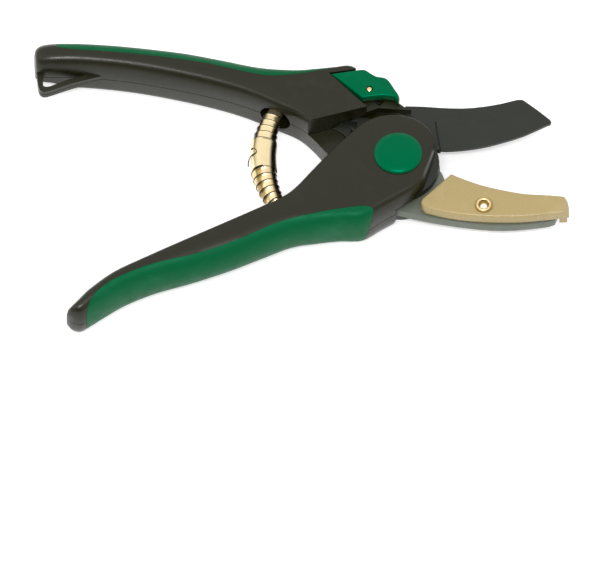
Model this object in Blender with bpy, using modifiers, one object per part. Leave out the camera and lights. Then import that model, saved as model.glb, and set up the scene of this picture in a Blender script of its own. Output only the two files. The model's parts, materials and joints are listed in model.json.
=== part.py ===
"""One-handed anvil pruners, standing open at rest.

Frame: origin on the pivot axis at the underside of the head, +X towards the
blade tip, +Y towards the upper handle, +Z up through the pivot.  Lengths are
in millimetres and become metres where a mesh is made.

The lower handle and the blade are one body.  The upper handle, the jaw plate
and the anvil turn about the pivot, and the lock catch slides on them.
"""

import math

import bmesh
import bpy
from mathutils import Vector

MM = 0.001

# Driving dimensions
HANDLE_T = 20.0          # thickness of both handles
PARTING = 10.0           # height where the two half shells of a handle meet
GAP = 0.3                # clearance between neighbouring pieces
WALL = 4.5               # skin left around the hollows of the handles
GRIP_T = 2.0             # thickness of the soft grips
CLOSING_DEG = 32.0       # travel of the handles
LOCK_TRAVEL = 5.0        # travel of the catch

# Levels of the pivot stack
LOWER_CHEEK_TOP = 5.7
JAW_Z = (6.0, 9.8)
BLADE_Z = (10.1, 13.1)
UPPER_CHEEK_BOTTOM = 13.4

# Pivot
BOLT_R = 4.0
BOLT_HOLE_R = 4.3
HEAD_BORE_R = 7.4
CAP_R = 9.35

# Catch and the arms that it slides on
ARM_Z = (4.0, 16.0)
CATCH_EDGE_R = 0.4       # rounding of the catch
TONGUE_Z = (10.4, 12.8)
SLIDE_ANGLE = math.radians(-42.8)
SLIDE = Vector((math.cos(SLIDE_ANGLE), math.sin(SLIDE_ANGLE)))

# Return spring, on an arc about the pivot
SPRING_ARC_R = 52.3
SPRING_R = 5.35
SPRING_END_R = 3.7
SPRING_WALL = 0.9
SOCKET_R = 6.3
SOCKET_DEPTH = 8.5
UPPER_MOUTH_DEG = 155.2
LOWER_MOUTH_DEG = 202.5

# Anvil
ANVIL_Z = (10.1, 15.2)
ANVIL_SCREW_AT = (32.8, -20.5)
HOOK_BOTTOM = 6.5
ANVIL_END_X = 65.6
ANVIL_HOLE_R = 2.6
ANVIL_SHANK_R = 2.3
ANVIL_FLANGE_R = 3.3
ANVIL_SOCKET_R = 1.9
ANVIL_NUT_Z = 3.4

# The lower grip's end by the pivot leans back by this much for each unit of depth
GRIP_END_X = -9.2
GRIP_END_SLANT = 0.22

# Handle screws, driven from the underside
LOWER_SCREWS = ((-100.8, -49.3), (-69.0, -35.5), (-29.0, -17.0))
UPPER_SCREWS = ((-101.0, 42.0), (-70.0, 36.0), (-29.0, 23.5))
SCREW_HEAD_R = 2.0
SCREW_HEAD_Z = (0.8, 2.9)
SCREW_R = 1.3
SCREW_TOP = 15.5

CORNER_TALL = 2.3        # height of the upper inner corners for each unit of their depth

# A station across a handle: inner point, outer point, inner corner depth,
# outer nose depth, outer nose half height, half thickness.
LOWER_STATIONS = (
    ((-127.0, -68.4), (-125.6, -70.0), 0.9, 0.9, 4.2, 4.4),
    ((-126.6, -67.2), (-123.6, -71.0), 2.0, 2.4, 6.6, 6.8),
    ((-125.2, -65.4), (-120.6, -71.0), 3.4, 4.6, 8.6, 8.8),
    ((-122.6, -62.3), (-116.8, -68.4), 4.0, 6.6, 9.6, 9.6),
    ((-119.0, -58.5), (-112.2, -65.0), 4.0, 7.8, 10.0, 10.0),
    ((-110.0, -51.0), (-103.6, -59.4), 4.0, 8.0, 10.0, 10.0),
    ((-98.0, -44.3), (-92.6, -54.4), 4.0, 8.0, 10.0, 10.0),
    ((-84.0, -37.0), (-78.8, -50.2), 4.0, 8.0, 10.0, 10.0),
    ((-71.0, -30.7), (-65.0, -45.1), 3.6, 7.6, 10.0, 10.0),
    ((-58.0, -24.5), (-51.6, -38.9), 3.0, 7.0, 10.0, 10.0),
    ((-45.5, -18.4), (-40.5, -33.8), 2.4, 6.4, 9.8, 10.0),
    ((-39.5, -14.1), (-31.5, -31.8), 1.6, 5.8, 9.4, 10.0),
    ((-33.0, -6.5), (-22.0, -30.2), 1.2, 5.0, 8.6, 10.0),
    ((-26.0, 1.6), (-13.2, -29.5), 1.0, 4.2, 8.2, 10.0),
    ((-19.0, 9.3), (-6.0, -24.6), 1.0, 3.6, 8.0, 10.0),
    ((-12.0, 15.8), (1.2, -19.9), 1.2, 3.4, 7.8, 10.0),
    ((-4.0, 18.8), (8.2, -14.6), 1.6, 3.0, 7.4, 10.0),
    ((4.4, 17.7), (11.2, -7.0), 1.8, 2.8, 6.6, 10.0),
    ((10.6, 13.6), (12.9, -1.0), 1.8, 2.2, 5.2, 10.0),
    ((13.8, 8.6), (14.1, 4.6), 1.2, 1.4, 3.2, 10.0),
)
UPPER_STATIONS = (
    ((-139.6, 43.4), (-140.2, 49.0), 2.0, 2.6, 5.4, 5.6),
    ((-139.0, 42.0), (-139.6, 51.4), 3.0, 4.4, 7.6, 7.8),
    ((-137.0, 41.1), (-137.4, 53.2), 3.8, 6.4, 9.2, 9.2),
    ((-132.0, 41.0), (-132.0, 53.8), 4.0, 7.6, 10.0, 10.0),
    ((-123.0, 41.0), (-122.4, 53.8), 4.0, 8.0, 10.0, 10.0),
    ((-111.0, 39.9), (-109.6, 53.0), 4.0, 8.0, 10.0, 10.0),
    ((-98.0, 37.9), (-96.0, 51.5), 4.0, 8.0, 10.0, 10.0),
    ((-84.0, 34.9), (-81.0, 49.4), 3.8, 7.8, 10.0, 10.0),
    ((-71.0, 31.6), (-66.6, 46.2), 3.4, 7.4, 10.0, 10.0),
    ((-59.0, 27.6), (-53.0, 42.9), 3.0, 6.8, 10.0, 10.0),
    ((-47.0, 22.2), (-39.6, 41.2), 2.4, 5.4, 9.0, 10.0),
    ((-38.6, 18.3), (-31.0, 41.1), 1.8, 4.0, 7.0, 10.0),
    ((-33.4, 13.8), (-24.0, 41.3), 1.4, 3.0, 5.0, 10.0),
    ((-28.6, 8.0), (-18.8, 41.4), 1.2, 2.4, 3.0, 10.0),
    ((-24.0, 2.7), (-14.6, 39.0), 1.2, 2.0, 2.2, 10.0),
    ((-19.0, -3.1), (-6.0, 33.0), 1.2, 2.0, 2.2, 10.0),
    ((-14.0, -9.0), (1.5, 26.5), 1.2, 2.0, 2.2, 10.0),
    ((-8.2, -15.4), (8.4, 18.2), 1.4, 2.0, 2.2, 10.0),
    ((0.5, -18.2), (13.4, 11.6), 1.6, 2.0, 2.2, 10.0),
    ((8.6, -16.0), (15.8, 4.6), 1.8, 2.0, 2.2, 10.0),
    ((14.0, -10.0), (16.2, -1.6), 1.6, 1.6, 1.8, 10.0),
    ((15.7, -6.6), (16.1, -4.6), 0.6, 0.6, 0.8, 10.0),
)
STATION_STEPS = 1        # lofted sections for each gap between stations
INNER_CORNER_STEPS = 2
NOSE_STEPS = 4

# Borders of the grips on the handles' faces, from the free end to the head
LOWER_GRIP_BORDER = (
    (-118.8, -67.6), (-116.0, -62.8), (-110.0, -57.4), (-102.0, -53.0), (-92.5, -49.1),
    (-80.0, -45.6), (-70.0, -42.0), (-60.0, -37.7), (-50.0, -32.6), (-42.0, -29.3),
    (-30.0, -26.3), (-20.0, -24.4), (-13.0, -23.6), (-10.0, -24.4),
)
UPPER_GRIP_BORDER = (
    (-131.5, 49.0), (-127.5, 48.0), (-115.0, 47.0), (-100.0, 45.6), (-85.0, 43.4),
    (-72.0, 41.1), (-60.0, 37.8), (-52.0, 36.0), (-45.0, 35.8), (-36.0, 36.9), (-27.0, 39.0),
)

# Colours: base colour, roughness, metallic
FINISH = {
    "black_plastic": ((0.045, 0.042, 0.032), 0.45, 0.0),
    "green_plastic": ((0.0, 0.165, 0.075), 0.35, 0.0),
    "green_rubber": ((0.0, 0.115, 0.045), 0.6, 0.0),
    "blade_steel": ((0.042, 0.045, 0.042), 0.45, 0.4),
    "jaw_steel": ((0.17, 0.19, 0.16), 0.5, 0.4),
    "anvil_metal": ((0.5, 0.4, 0.18), 0.55, 0.1),
    "brass": ((0.75, 0.58, 0.28), 0.3, 1.0),
    "steel": ((0.5, 0.5, 0.5), 0.35, 1.0),
}

PARTS_NAME = "anvil_pruners"


# ---------------------------------------------------------------- helpers

def clear_scene():
    for old in list(bpy.data.objects):
        bpy.data.objects.remove(old)


def new_collection(name):
    made = bpy.data.collections.new(name)
    bpy.context.scene.collection.children.link(made)
    return made


def make_material(name):
    colour, roughness, metallic = FINISH[name]
    made = bpy.data.materials.new(name)
    made.use_nodes = True
    shader = made.node_tree.nodes["Principled BSDF"]
    shader.inputs["Base Color"].default_value = (*colour, 1.0)
    shader.inputs["Roughness"].default_value = roughness
    shader.inputs["Metallic"].default_value = metallic
    made.diffuse_color = (*colour, 1.0)
    return made


def polar(radius, degrees):
    angle = math.radians(degrees)
    return (radius * math.cos(angle), radius * math.sin(angle))


def arc(centre, radius, start_deg, end_deg, steps):
    """Points on an arc, ends included."""
    points = []
    for i in range(steps + 1):
        x, y = polar(radius, start_deg + (end_deg - start_deg) * i / steps)
        points.append((centre[0] + x, centre[1] + y))
    return points


def catmull_rom(rows, steps):
    """Numbers that run smoothly through every row, with steps between rows."""
    last = len(rows) - 1
    out = []
    for i in range(last):
        before, start, end, after = rows[max(i - 1, 0)], rows[i], rows[i + 1], rows[min(i + 2, last)]
        for k in range(steps):
            t = k / steps
            row = []
            for a, b, c, d in zip(before, start, end, after):
                bend = (2 * a - 5 * b + 4 * c - d) * t * t + (3 * b - a - 3 * c + d) * t * t * t
                row.append(0.5 * (2 * b + (c - a) * t + bend))
            out.append(tuple(row))
    out.append(tuple(rows[last]))
    return out


def smooth(points, steps=3):
    return catmull_rom(points, steps)


def shifted(points, dx, dy):
    return [(x + dx, y + dy) for x, y in points]


def link(mesh, name, collection):
    made = bpy.data.objects.new(name, mesh)
    collection.objects.link(made)
    return made


def prism(name, outline, z_low, z_high, edge=0.0, collection=None):
    """A flat outline with thickness, its rims rounded by edge."""
    curve = bpy.data.curves.new(name, "CURVE")
    curve.dimensions = "2D"
    curve.fill_mode = "BOTH"
    spline = curve.splines.new("POLY")
    spline.points.add(len(outline) - 1)
    for point, (x, y) in zip(spline.points, outline):
        point.co = (x * MM, y * MM, 0.0, 1.0)
    spline.use_cyclic_u = True
    curve.extrude = ((z_high - z_low) / 2 - edge) * MM
    if edge:
        curve.bevel_depth = edge * MM
        curve.bevel_resolution = 0
        curve.offset = -edge * MM
    guide = link(curve, name + "_curve", collection or cutters)
    bpy.context.view_layer.update()
    evaluated = guide.evaluated_get(bpy.context.evaluated_depsgraph_get())
    mesh = bpy.data.meshes.new_from_object(evaluated)
    bpy.data.objects.remove(guide)
    weld = bmesh.new()
    weld.from_mesh(mesh)
    bmesh.ops.remove_doubles(weld, verts=weld.verts, dist=1e-6)
    bmesh.ops.translate(weld, verts=weld.verts, vec=(0, 0, (z_low + z_high) / 2 * MM))
    bmesh.ops.recalc_face_normals(weld, faces=weld.faces)
    weld.to_mesh(mesh)
    weld.free()
    return link(mesh, name, collection or cutters)


def turned(name, profile, at=(0.0, 0.0), segments=32, closed=False, collection=None):
    """A profile of (radius, height) pairs, run down its outer side, turned about Z."""
    mesh = bpy.data.meshes.new(name)
    count = len(profile)
    edges = [(i, i + 1) for i in range(count - 1)]
    if closed:
        edges.append((count - 1, 0))
    mesh.from_pydata([(r * MM, 0.0, z * MM) for r, z in profile], edges, [])
    made = link(mesh, name, collection or cutters)
    made.location = (at[0] * MM, at[1] * MM, 0.0)
    screw = made.modifiers.new("turn", "SCREW")
    screw.steps = segments
    screw.render_steps = segments
    screw.use_merge_vertices = True
    screw.merge_threshold = 1e-6
    screw.use_smooth_shade = False
    return made


def rod(name, radius, z_low, z_high, at=(0.0, 0.0), segments=32, collection=None):
    profile = [(0.0, z_high), (radius, z_high), (radius, z_low), (0.0, z_low)]
    return turned(name, profile, at, segments, collection=collection)


def ring(name, outer, inner, z_low, z_high, at=(0.0, 0.0), segments=32, collection=None):
    profile = [(outer, z_high), (outer, z_low), (inner, z_low), (inner, z_high)]
    return turned(name, profile, at, segments, closed=True, collection=collection)


def hexagon(across_flats, centre=(0.0, 0.0)):
    radius = across_flats / math.sqrt(3)
    return arc(centre, radius, 0, 300, 5)


def solid_between(name, sections, collection=None):
    """A closed body through sections that have the same number of points."""
    build = bmesh.new()
    rings = [[build.verts.new(Vector(point) * MM) for point in row] for row in sections]
    count = len(rings[0])
    for one, two in zip(rings, rings[1:]):
        for i in range(count):
            j = (i + 1) % count
            build.faces.new((one[i], one[j], two[j], two[i]))
    build.faces.new(rings[0])
    build.faces.new(list(reversed(rings[-1])))
    bmesh.ops.recalc_face_normals(build, faces=build.faces)
    mesh = bpy.data.meshes.new(name)
    build.to_mesh(mesh)
    build.free()
    return link(mesh, name, collection or cutters)


def boolean(target, operation, *tools):
    for tool in tools:
        step = target.modifiers.new(tool.name, "BOOLEAN")
        step.operation = operation
        step.solver = "EXACT"
        step.object = tool
        tool.hide_render = True
        tool.display_type = "WIRE"


def cut(target, *tools):
    boolean(target, "DIFFERENCE", *tools)


def join(target, *tools):
    boolean(target, "UNION", *tools)


def keep(target, *tools):
    boolean(target, "INTERSECT", *tools)


def finish(made, material, parent=None):
    """Give a piece its material, its smooth shading and its place in the tree."""
    made.data.materials.clear()
    made.data.materials.append(materials[material])
    made.data.shade_smooth()
    made.data.set_sharp_from_angle(angle=math.radians(35))
    if parent:
        made.parent = parent
    return made


# ---------------------------------------------------------------- handles

def section(station, inset):
    """Points around one section of a handle, in millimetres."""
    ix, iy, ox, oy, corner, nose, nose_half, half = station
    inner = Vector((ix, iy))
    across = Vector((ox, oy)) - inner
    width = across.length
    across.normalize()
    near = min(inset, width / 2 - 0.4)
    far = width - near
    half = max(half - inset, 1.0)
    corner = min(max(corner - inset, 0.3), (far - near) / 2 - 0.05)
    nose = min(max(nose - inset, 0.3), (far - near) / 2)
    nose_half = max(min(nose_half - inset, half - 0.02), 0.3)
    corner_half = min(corner * CORNER_TALL, half - 0.02)
    over, under = [], []
    for i in range(INNER_CORNER_STEPS, -1, -1):
        angle = math.pi / 2 * i / INNER_CORNER_STEPS
        u, fall = near + corner * (1 - math.sin(angle)), 1 - math.cos(angle)
        over.append((u, half - corner_half * fall))
        under.append((u, half - corner * fall))
    for i in range(NOSE_STEPS + 1):
        angle = math.pi / 2 * i / NOSE_STEPS
        point = (far - nose * (1 - math.sin(angle)), half - nose_half * (1 - math.cos(angle)))
        over.append(point)
        under.append(point)
    if over[-1][1] < 1e-3:
        over[-1] = (over[-1][0], 0.0)
        under.pop()
    loop = over + [(u, -w) for u, w in reversed(under)]
    points = []
    for u, w in loop:
        spot = inner + across * u
        points.append((spot.x, spot.y, PARTING + w))
    return points


def handle_loft(name, stations, inset=0.0, first=0, last=None, collection=None):
    """A handle's outer form, or the same form drawn in by inset."""
    rows = [(*inner, *outer, *rest) for inner, outer, *rest in stations]
    rows = catmull_rom(rows, STATION_STEPS)
    rows = rows[first * STATION_STEPS:(len(rows) if last is None else last * STATION_STEPS + 1)]
    loops = []
    for row in rows:
        row = list(row)
        row[6] = min(row[6], row[7] - 0.02)
        loops.append(section(row, inset))
    return solid_between(name, loops, collection)


def half_space(name, z_low, z_high):
    outline = [(-160, -100), (90, -100), (90, 80), (-160, 80)]
    return prism(name, outline, z_low, z_high)


def grip_region(name, border, ends, outward, grow):
    """A tall prism over the strip of handle that a grip covers."""
    path = smooth(border, 2)
    path = [(x, y - outward * grow) for x, y in path]
    left, right = ends
    path = [(left[0] - grow, left[1] - outward * grow)] + path + [(right[0] + grow, right[1])]
    far = [(right[0] + grow - 1.0, right[1] + outward * 30), (left[0] - grow, left[1] + outward * 30)]
    return prism(name, path + far, -2.0, HANDLE_T + 2.0)


def lower_region(name, grow):
    area = grip_region(name, LOWER_GRIP_BORDER, ((-119.4, -70.0), (-9.0, -26.0)), -1, grow)
    top, foot = HANDLE_T + 3.0, -3.0
    top_x, foot_x = (GRIP_END_X + grow - GRIP_END_SLANT * (HANDLE_T - z) for z in (top, foot))
    beyond = [((top_x, y, top), (top_x + 20.0, y, top), (top_x + 20.0, y, foot), (foot_x, y, foot))
              for y in (-60.0, -10.0)]
    cut(area, solid_between(name + "_beyond", beyond))
    return area


def upper_region(name, grow):
    return grip_region(name, UPPER_GRIP_BORDER, ((-131.9, 49.6), (-26.5, 39.4)), 1, grow)


def make_grip(name, stations, region, parent):
    grip = handle_loft(name, stations, collection=parts)
    keep(grip, region(name + "_area", 0.0))
    cut(grip, handle_loft(name + "_inside", stations, GRIP_T))
    return finish(grip, "green_rubber", parent)


def groove(name, stations, region):
    """The room that a shell leaves for its grip."""
    room = region(name, GAP)
    cut(room, handle_loft(name + "_floor", stations, GRIP_T + GAP))
    return room


def spring_socket(name, mouth_deg, inward):
    """A round pocket square to the spring's arc, from its mouth into a handle."""
    mouth = Vector(polar(SPRING_ARC_R, mouth_deg))
    tangent = Vector((-math.sin(math.radians(mouth_deg)), math.cos(math.radians(mouth_deg)))) * inward
    lead = 6.0
    middle = mouth + tangent * (SOCKET_DEPTH - lead) / 2
    build = bmesh.new()
    bmesh.ops.create_cone(build, cap_ends=True, segments=24, radius1=SOCKET_R * MM,
                          radius2=SOCKET_R * MM, depth=(SOCKET_DEPTH + lead) * MM)
    mesh = bpy.data.meshes.new(name)
    build.to_mesh(mesh)
    build.free()
    made = link(mesh, name, cutters)
    made.location = (middle.x * MM, middle.y * MM, PARTING * MM)
    made.rotation_euler = (math.pi / 2, 0.0, math.atan2(tangent.y, tangent.x) + math.pi / 2)
    return made


def screw_room(name, at, blind_top):
    """A stepped hole for a handle screw, wide at the underside."""
    seat = SCREW_HEAD_Z[1] + GAP
    profile = [(0.0, blind_top), (SCREW_R + GAP, blind_top), (SCREW_R + GAP, seat),
               (SCREW_HEAD_R + GAP, seat), (SCREW_HEAD_R + GAP, -1.0), (0.0, -1.0)]
    return turned(name, profile, at, 12)


def handle_screw(name, at, parent):
    """A pan-head screw with a cross recess left plain."""
    head_low, head_high = SCREW_HEAD_Z
    profile = [(0.0, SCREW_TOP), (SCREW_R - 0.5, SCREW_TOP), (SCREW_R, SCREW_TOP - 1.5),
               (SCREW_R, head_high), (SCREW_HEAD_R, head_high), (SCREW_HEAD_R, head_low + 0.5),
               (SCREW_HEAD_R - 0.6, head_low), (1.0, head_low), (0.8, head_low + 0.9),
               (0.0, head_low + 0.9)]
    return finish(turned(name, profile, at, 12, collection=parts), "steel", parent)


def make_shell(name, loft_name, stations, z_low, z_high, material, parent):
    shell = handle_loft(name, stations, collection=parts)
    keep(shell, half_space(loft_name, z_low, z_high))
    return finish(shell, material, parent)


# ------------------------------------------------------------- lower body

HEAD_CLEAR_R = 21.4      # room round the pivot for the other body's head
TAIL_CLEAR_R = 30.0      # room for the blade's tail to turn in
TANG_PLAY = 0.45         # clearance round a tang in its pocket

BLADE_TANG = ((-17.5, 15.0), (-16.2, 10.0), (-18.5, 3.0), (-25.0, -5.0), (-33.0, -13.0), (-37.4, -17.6),
              (-37.8, -21.0), (-36.2, -24.6), (-32.0, -25.6), (-18.0, -22.0), (-9.0, -17.5))
BLADE_EDGE = ((57.4, 18.0), (52.5, 15.3), (47.5, 12.8), (40.0, 10.1), (32.5, 7.9), (25.0, 6.6),
              (18.5, 6.1))


def blade_outline():
    back = [(3.0, 26.0), (10.0, 25.8), (16.0, 25.3), (25.0, 25.0), (33.0, 25.8), (40.0, 27.2),
            (45.5, 28.8), (47.4, 28.95), (49.0, 28.2), (57.4, 21.0)]
    tip = [(58.6, 19.9), (59.0, 19.0), (58.4, 18.3)]
    edge = smooth(BLADE_EDGE)
    heel = [(14.5, 6.5)]
    head = arc((0.0, 0.0), 15.9, 22.0, -110.0, 14)
    tang = smooth(list(reversed(BLADE_TANG)), 2)
    hook = [(-19.9, 18.0), (-18.2, 19.3), (-15.6, 20.9), (-11.5, 20.6)]
    tail = arc((0.0, 0.0), 20.9, 113.0, 96.0, 4)
    return smooth(back, 2) + tip + edge + heel + head + tang + hook + tail + [(0.4, 22.8)]


def tongue_outline(tip, half_width, length):
    """A strip along the slide, with its end at tip."""
    side = Vector((-SLIDE.y, SLIDE.x)) * half_width
    back = SLIDE * -length
    tip = Vector(tip)
    corners = (tip + side, tip + side + back, tip - side + back, tip - side)
    return [tuple(corner) for corner in corners]


def rotated(points, degrees):
    turn = math.radians(degrees)
    c, s = math.cos(turn), math.sin(turn)
    return [(x * c - y * s, x * s + y * c) for x, y in points]


TONGUE_TIP = (-8.2, 26.5)
TONGUE_HALF = 1.3
TONGUE_LENGTH = 9.0


def lock_slot(name):
    """The notch in the blade's tail, where the tongue stands when closed and locked."""
    end = Vector(TONGUE_TIP) + SLIDE * (LOCK_TRAVEL + GAP)
    outline = tongue_outline(end, TONGUE_HALF + GAP, 14.0)
    return prism(name, rotated(outline, CLOSING_DEG), BLADE_Z[0] - 1, BLADE_Z[1] + 1)


def make_blade():
    blade = prism("blade", blade_outline(), *BLADE_Z, collection=parts)
    cut(blade, rod("blade_bolt_hole", BOLT_HOLE_R, 8, 15))
    cut(blade, lock_slot("blade_lock_slot"))
    cut(blade, rod("blade_screw_hole", SCREW_R + 0.4, 8, 15, LOWER_SCREWS[2], 20))
    return finish(blade, "blade_steel", lower_body)


def tang_pocket(name, outline, z_low, z_high):
    """Room for a tang: its outline pushed out sideways by a little more than the gap."""
    count = len(outline)
    area = sum(outline[i][0] * outline[(i + 1) % count][1] - outline[(i + 1) % count][0] * outline[i][1]
               for i in range(count))
    outward = math.copysign(TANG_PLAY, area)
    grown = []
    for i in range(count):
        before, after = outline[i - 1], outline[(i + 1) % count]
        along = Vector((after[0] - before[0], after[1] - before[1])).normalized()
        grown.append((outline[i][0] + outward * along.y, outline[i][1] - outward * along.x))
    return prism(name, grown, z_low, z_high)


def lower_head_cut(name):
    """Everything on the head's side of the line where the lower handle's bottom shell ends."""
    outline = [(-60.0, -3.1), (-35.0, -10.7), (0.0, -21.4), (0.6, -26.0), (0.6, -40.0), (60.0, -40.0),
               (60.0, 60.0), (-60.0, 60.0)]
    return prism(name, outline, -2.0, PARTING + GAP)


def make_lower_shells():
    top = make_shell("lower_shell_top", "lower_top_half", LOWER_STATIONS, PARTING + GAP / 2, 30,
                     "black_plastic", lower_body)
    bottom = make_shell("lower_shell_bottom", "lower_bottom_half", LOWER_STATIONS, -10,
                        PARTING - GAP / 2, "black_plastic", lower_body)
    grip_room = groove("lower_groove", LOWER_STATIONS, lower_region)
    socket = spring_socket("lower_socket", LOWER_MOUTH_DEG, 1)
    hollows = [handle_loft("lower_hollow_a", LOWER_STATIONS, WALL, 6, 7),
               handle_loft("lower_hollow_b", LOWER_STATIONS, WALL, 8, 9)]
    screws = [screw_room(f"lower_screw_room_{i}", at, SCREW_TOP + 0.6)
              for i, at in enumerate(LOWER_SCREWS, 1)]
    for shell in (top, bottom):
        cut(shell, grip_room, socket, *hollows, *screws)
    cut(top, rod("head_clear", HEAD_CLEAR_R, 5.0, UPPER_CHEEK_BOTTOM, segments=48))
    cut(top, tang_pocket("blade_pocket", smooth(BLADE_TANG, 2) + [(0.0, 0.0)], 5.0,
                         UPPER_CHEEK_BOTTOM))
    steps = [(0.0, 30.0), (HEAD_BORE_R, 30.0), (HEAD_BORE_R, 15.2), (BOLT_HOLE_R, 15.2),
             (BOLT_HOLE_R, 10.0), (0.0, 10.0)]
    cut(top, turned("top_bore", steps))
    cut(bottom, lower_head_cut("lower_head_cut"))


# ------------------------------------------------------------- upper body

SLOT_LINE = ((-11.9, 21.4), (-26.6, 36.9))
JAW_TANG_POINTS = 28     # how many points of the jaw plate's outline lie along its tang


def jaw_outline():
    far_edge = smooth([(3.0, -20.4), (9.6, -22.2), (18.4, -24.0), (27.2, -25.4), (36.0, -26.4),
                       (45.0, -26.3), (53.7, -25.3), (58.0, -24.6)], 2)
    nose = [(60.2, -23.6), (61.0, -21.6), (60.8, -18.0)]
    seat = smooth([(58.0, -17.4), (50.0, -16.6), (40.0, -14.8), (30.0, -11.6), (22.0, -8.4)], 2)
    crotch = smooth([(17.9, -6.0), (17.2, -3.2), (15.6, -0.6), (13.4, 1.8)], 2)
    head = arc((0.0, 0.0), 13.6, 12.0, 78.0, 7)
    tang = smooth([(-4.0, 17.4), (-12.0, 20.5), (-20.0, 25.0), (-28.0, 29.6), (-33.6, 30.6),
                   (-36.0, 28.6), (-36.2, 25.0), (-33.0, 21.4), (-27.0, 18.6), (-21.0, 15.4),
                   (-18.0, 8.5), (-16.0, 0.5), (-13.0, -6.0), (-9.0, -12.0), (-5.0, -18.0)], 2)
    return far_edge + nose + seat + crotch + head + tang


def make_jaw_plate():
    jaw = prism("jaw_plate", jaw_outline(), *JAW_Z, edge=0.25, collection=parts)
    cut(jaw, rod("jaw_bolt_hole", BOLT_HOLE_R, 4, 12))
    cut(jaw, rod("jaw_anvil_hole", ANVIL_HOLE_R, 4, 12, ANVIL_SCREW_AT, 24))
    cut(jaw, rod("jaw_screw_hole", SCREW_R + 0.4, 4, 12, UPPER_SCREWS[2], 20))
    return finish(jaw, "jaw_steel", upper_body)


def anvil_outline():
    met = shifted(rotated(BLADE_EDGE[:-1], -CLOSING_DEG), 0.0, -GAP - 0.05)
    face = smooth([(20.4, -5.9)] + met[::-1] + [(63.6, -16.1)], 2)
    end = [(ANVIL_END_X - 0.6, -17.6), (ANVIL_END_X, -20.0), (ANVIL_END_X, -23.2)]
    near = smooth([(61.0, -23.9), (55.0, -24.7), (47.0, -25.5), (38.0, -25.6), (28.0, -25.0),
                   (19.0, -23.6), (10.6, -21.4)], 2)
    heel = [(9.1, -20.0), (8.7, -18.6), (9.3, -17.1)]
    return face + end + near + heel


def make_anvil():
    anvil = prism("anvil", anvil_outline(), *ANVIL_Z, edge=0.6, collection=parts)
    hook = [(61.9, -16.5), (64.5, -18.4), (64.9, -20.4), (64.9, -22.6), (61.9, -22.9)]
    join(anvil, prism("anvil_hook", hook, HOOK_BOTTOM, ANVIL_Z[0] + 1.5))
    slope = [((ANVIL_END_X - 2.2, y, ANVIL_Z[1] + 0.2), (ANVIL_END_X + 1.0, y, ANVIL_Z[1] + 0.2),
              (ANVIL_END_X + 1.0, y, ANVIL_Z[1] - 4.2)) for y in (-26.0, -12.0)]
    cut(anvil, solid_between("anvil_end_slope", slope))
    cut(anvil, rod("anvil_hole", ANVIL_HOLE_R, 5, 17, ANVIL_SCREW_AT, 24))
    return finish(anvil, "anvil_metal", upper_body)


def make_anvil_fixings():
    top = ANVIL_Z[1] + GAP
    profile = [(ANVIL_SOCKET_R, top + 0.9), (ANVIL_FLANGE_R - 0.4, top + 0.9),
               (ANVIL_FLANGE_R, top + 0.5), (ANVIL_FLANGE_R, top), (ANVIL_SHANK_R, top),
               (ANVIL_SHANK_R, ANVIL_NUT_Z), (1.2, ANVIL_NUT_Z), (1.2, 11.0), (ANVIL_SOCKET_R, 11.0)]
    screw = turned("anvil_screw", profile, ANVIL_SCREW_AT, 24, closed=True, collection=parts)
    finish(screw, "brass", upper_body)
    nut = prism("anvil_nut", hexagon(7.0, ANVIL_SCREW_AT), ANVIL_NUT_Z, JAW_Z[0] - GAP, edge=0.3,
                collection=parts)
    cut(nut, rod("anvil_nut_hole", ANVIL_HOLE_R, 2, 7, ANVIL_SCREW_AT, 24))
    finish(nut, "brass", upper_body)


def upper_head_cut(name):
    """The head's side of the line where the upper handle's top shell ends."""
    outline = [(-33.4, 15.45), (-11.5, 21.7), (-7.5, 23.3), (2.8, 22.4), (40.0, 22.0), (40.0, -60.0),
               (-60.0, -60.0), (-60.0, 9.0)]
    return prism(name, outline, PARTING - 1, 30)


def catch_space(name, z_low, z_high):
    """The room that the catch slides in, beyond the slot line and below the rim."""
    outline = [(-4.0, 13.1), *SLOT_LINE, (-16.2, 38.6), (-15.8, 46.0), (30.0, 46.0), (30.0, 13.1)]
    return prism(name, outline, z_low, z_high)


def web_space(name):
    """The room for the catch's outer web, at every height."""
    outline = [(-15.9, 46.0), (-16.1, 36.4), (-12.3, 32.2), (-7.0, 30.4), (-2.6, 28.0), (3.4, 22.9),
               (20.0, 22.0), (30.0, 46.0)]
    return prism(name, outline, ARM_Z[0] - 10, ARM_Z[1] + 10)


LOOP_HALF_T = 2.0        # half the thickness of the hanging loop's bar


def loop_half(name, z_low, z_high):
    """One half of the hanging loop's bar, run into the handle at both ends."""
    outer = smooth([(-139.3, 43.0), (-138.9, 39.0), (-138.3, 35.0), (-137.2, 33.5), (-135.2, 33.3),
                    (-130.0, 35.3), (-125.0, 37.2), (-119.0, 39.0), (-113.0, 40.6)], 2)
    inner = smooth([(-119.0, 43.0), (-121.4, 40.6), (-126.0, 39.3), (-130.0, 37.6), (-134.2, 35.7),
                    (-136.2, 35.8), (-136.7, 37.0), (-136.7, 43.0)], 2)
    return prism(name, outer + [(-113.0, 43.0)] + inner, z_low, z_high)


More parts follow.
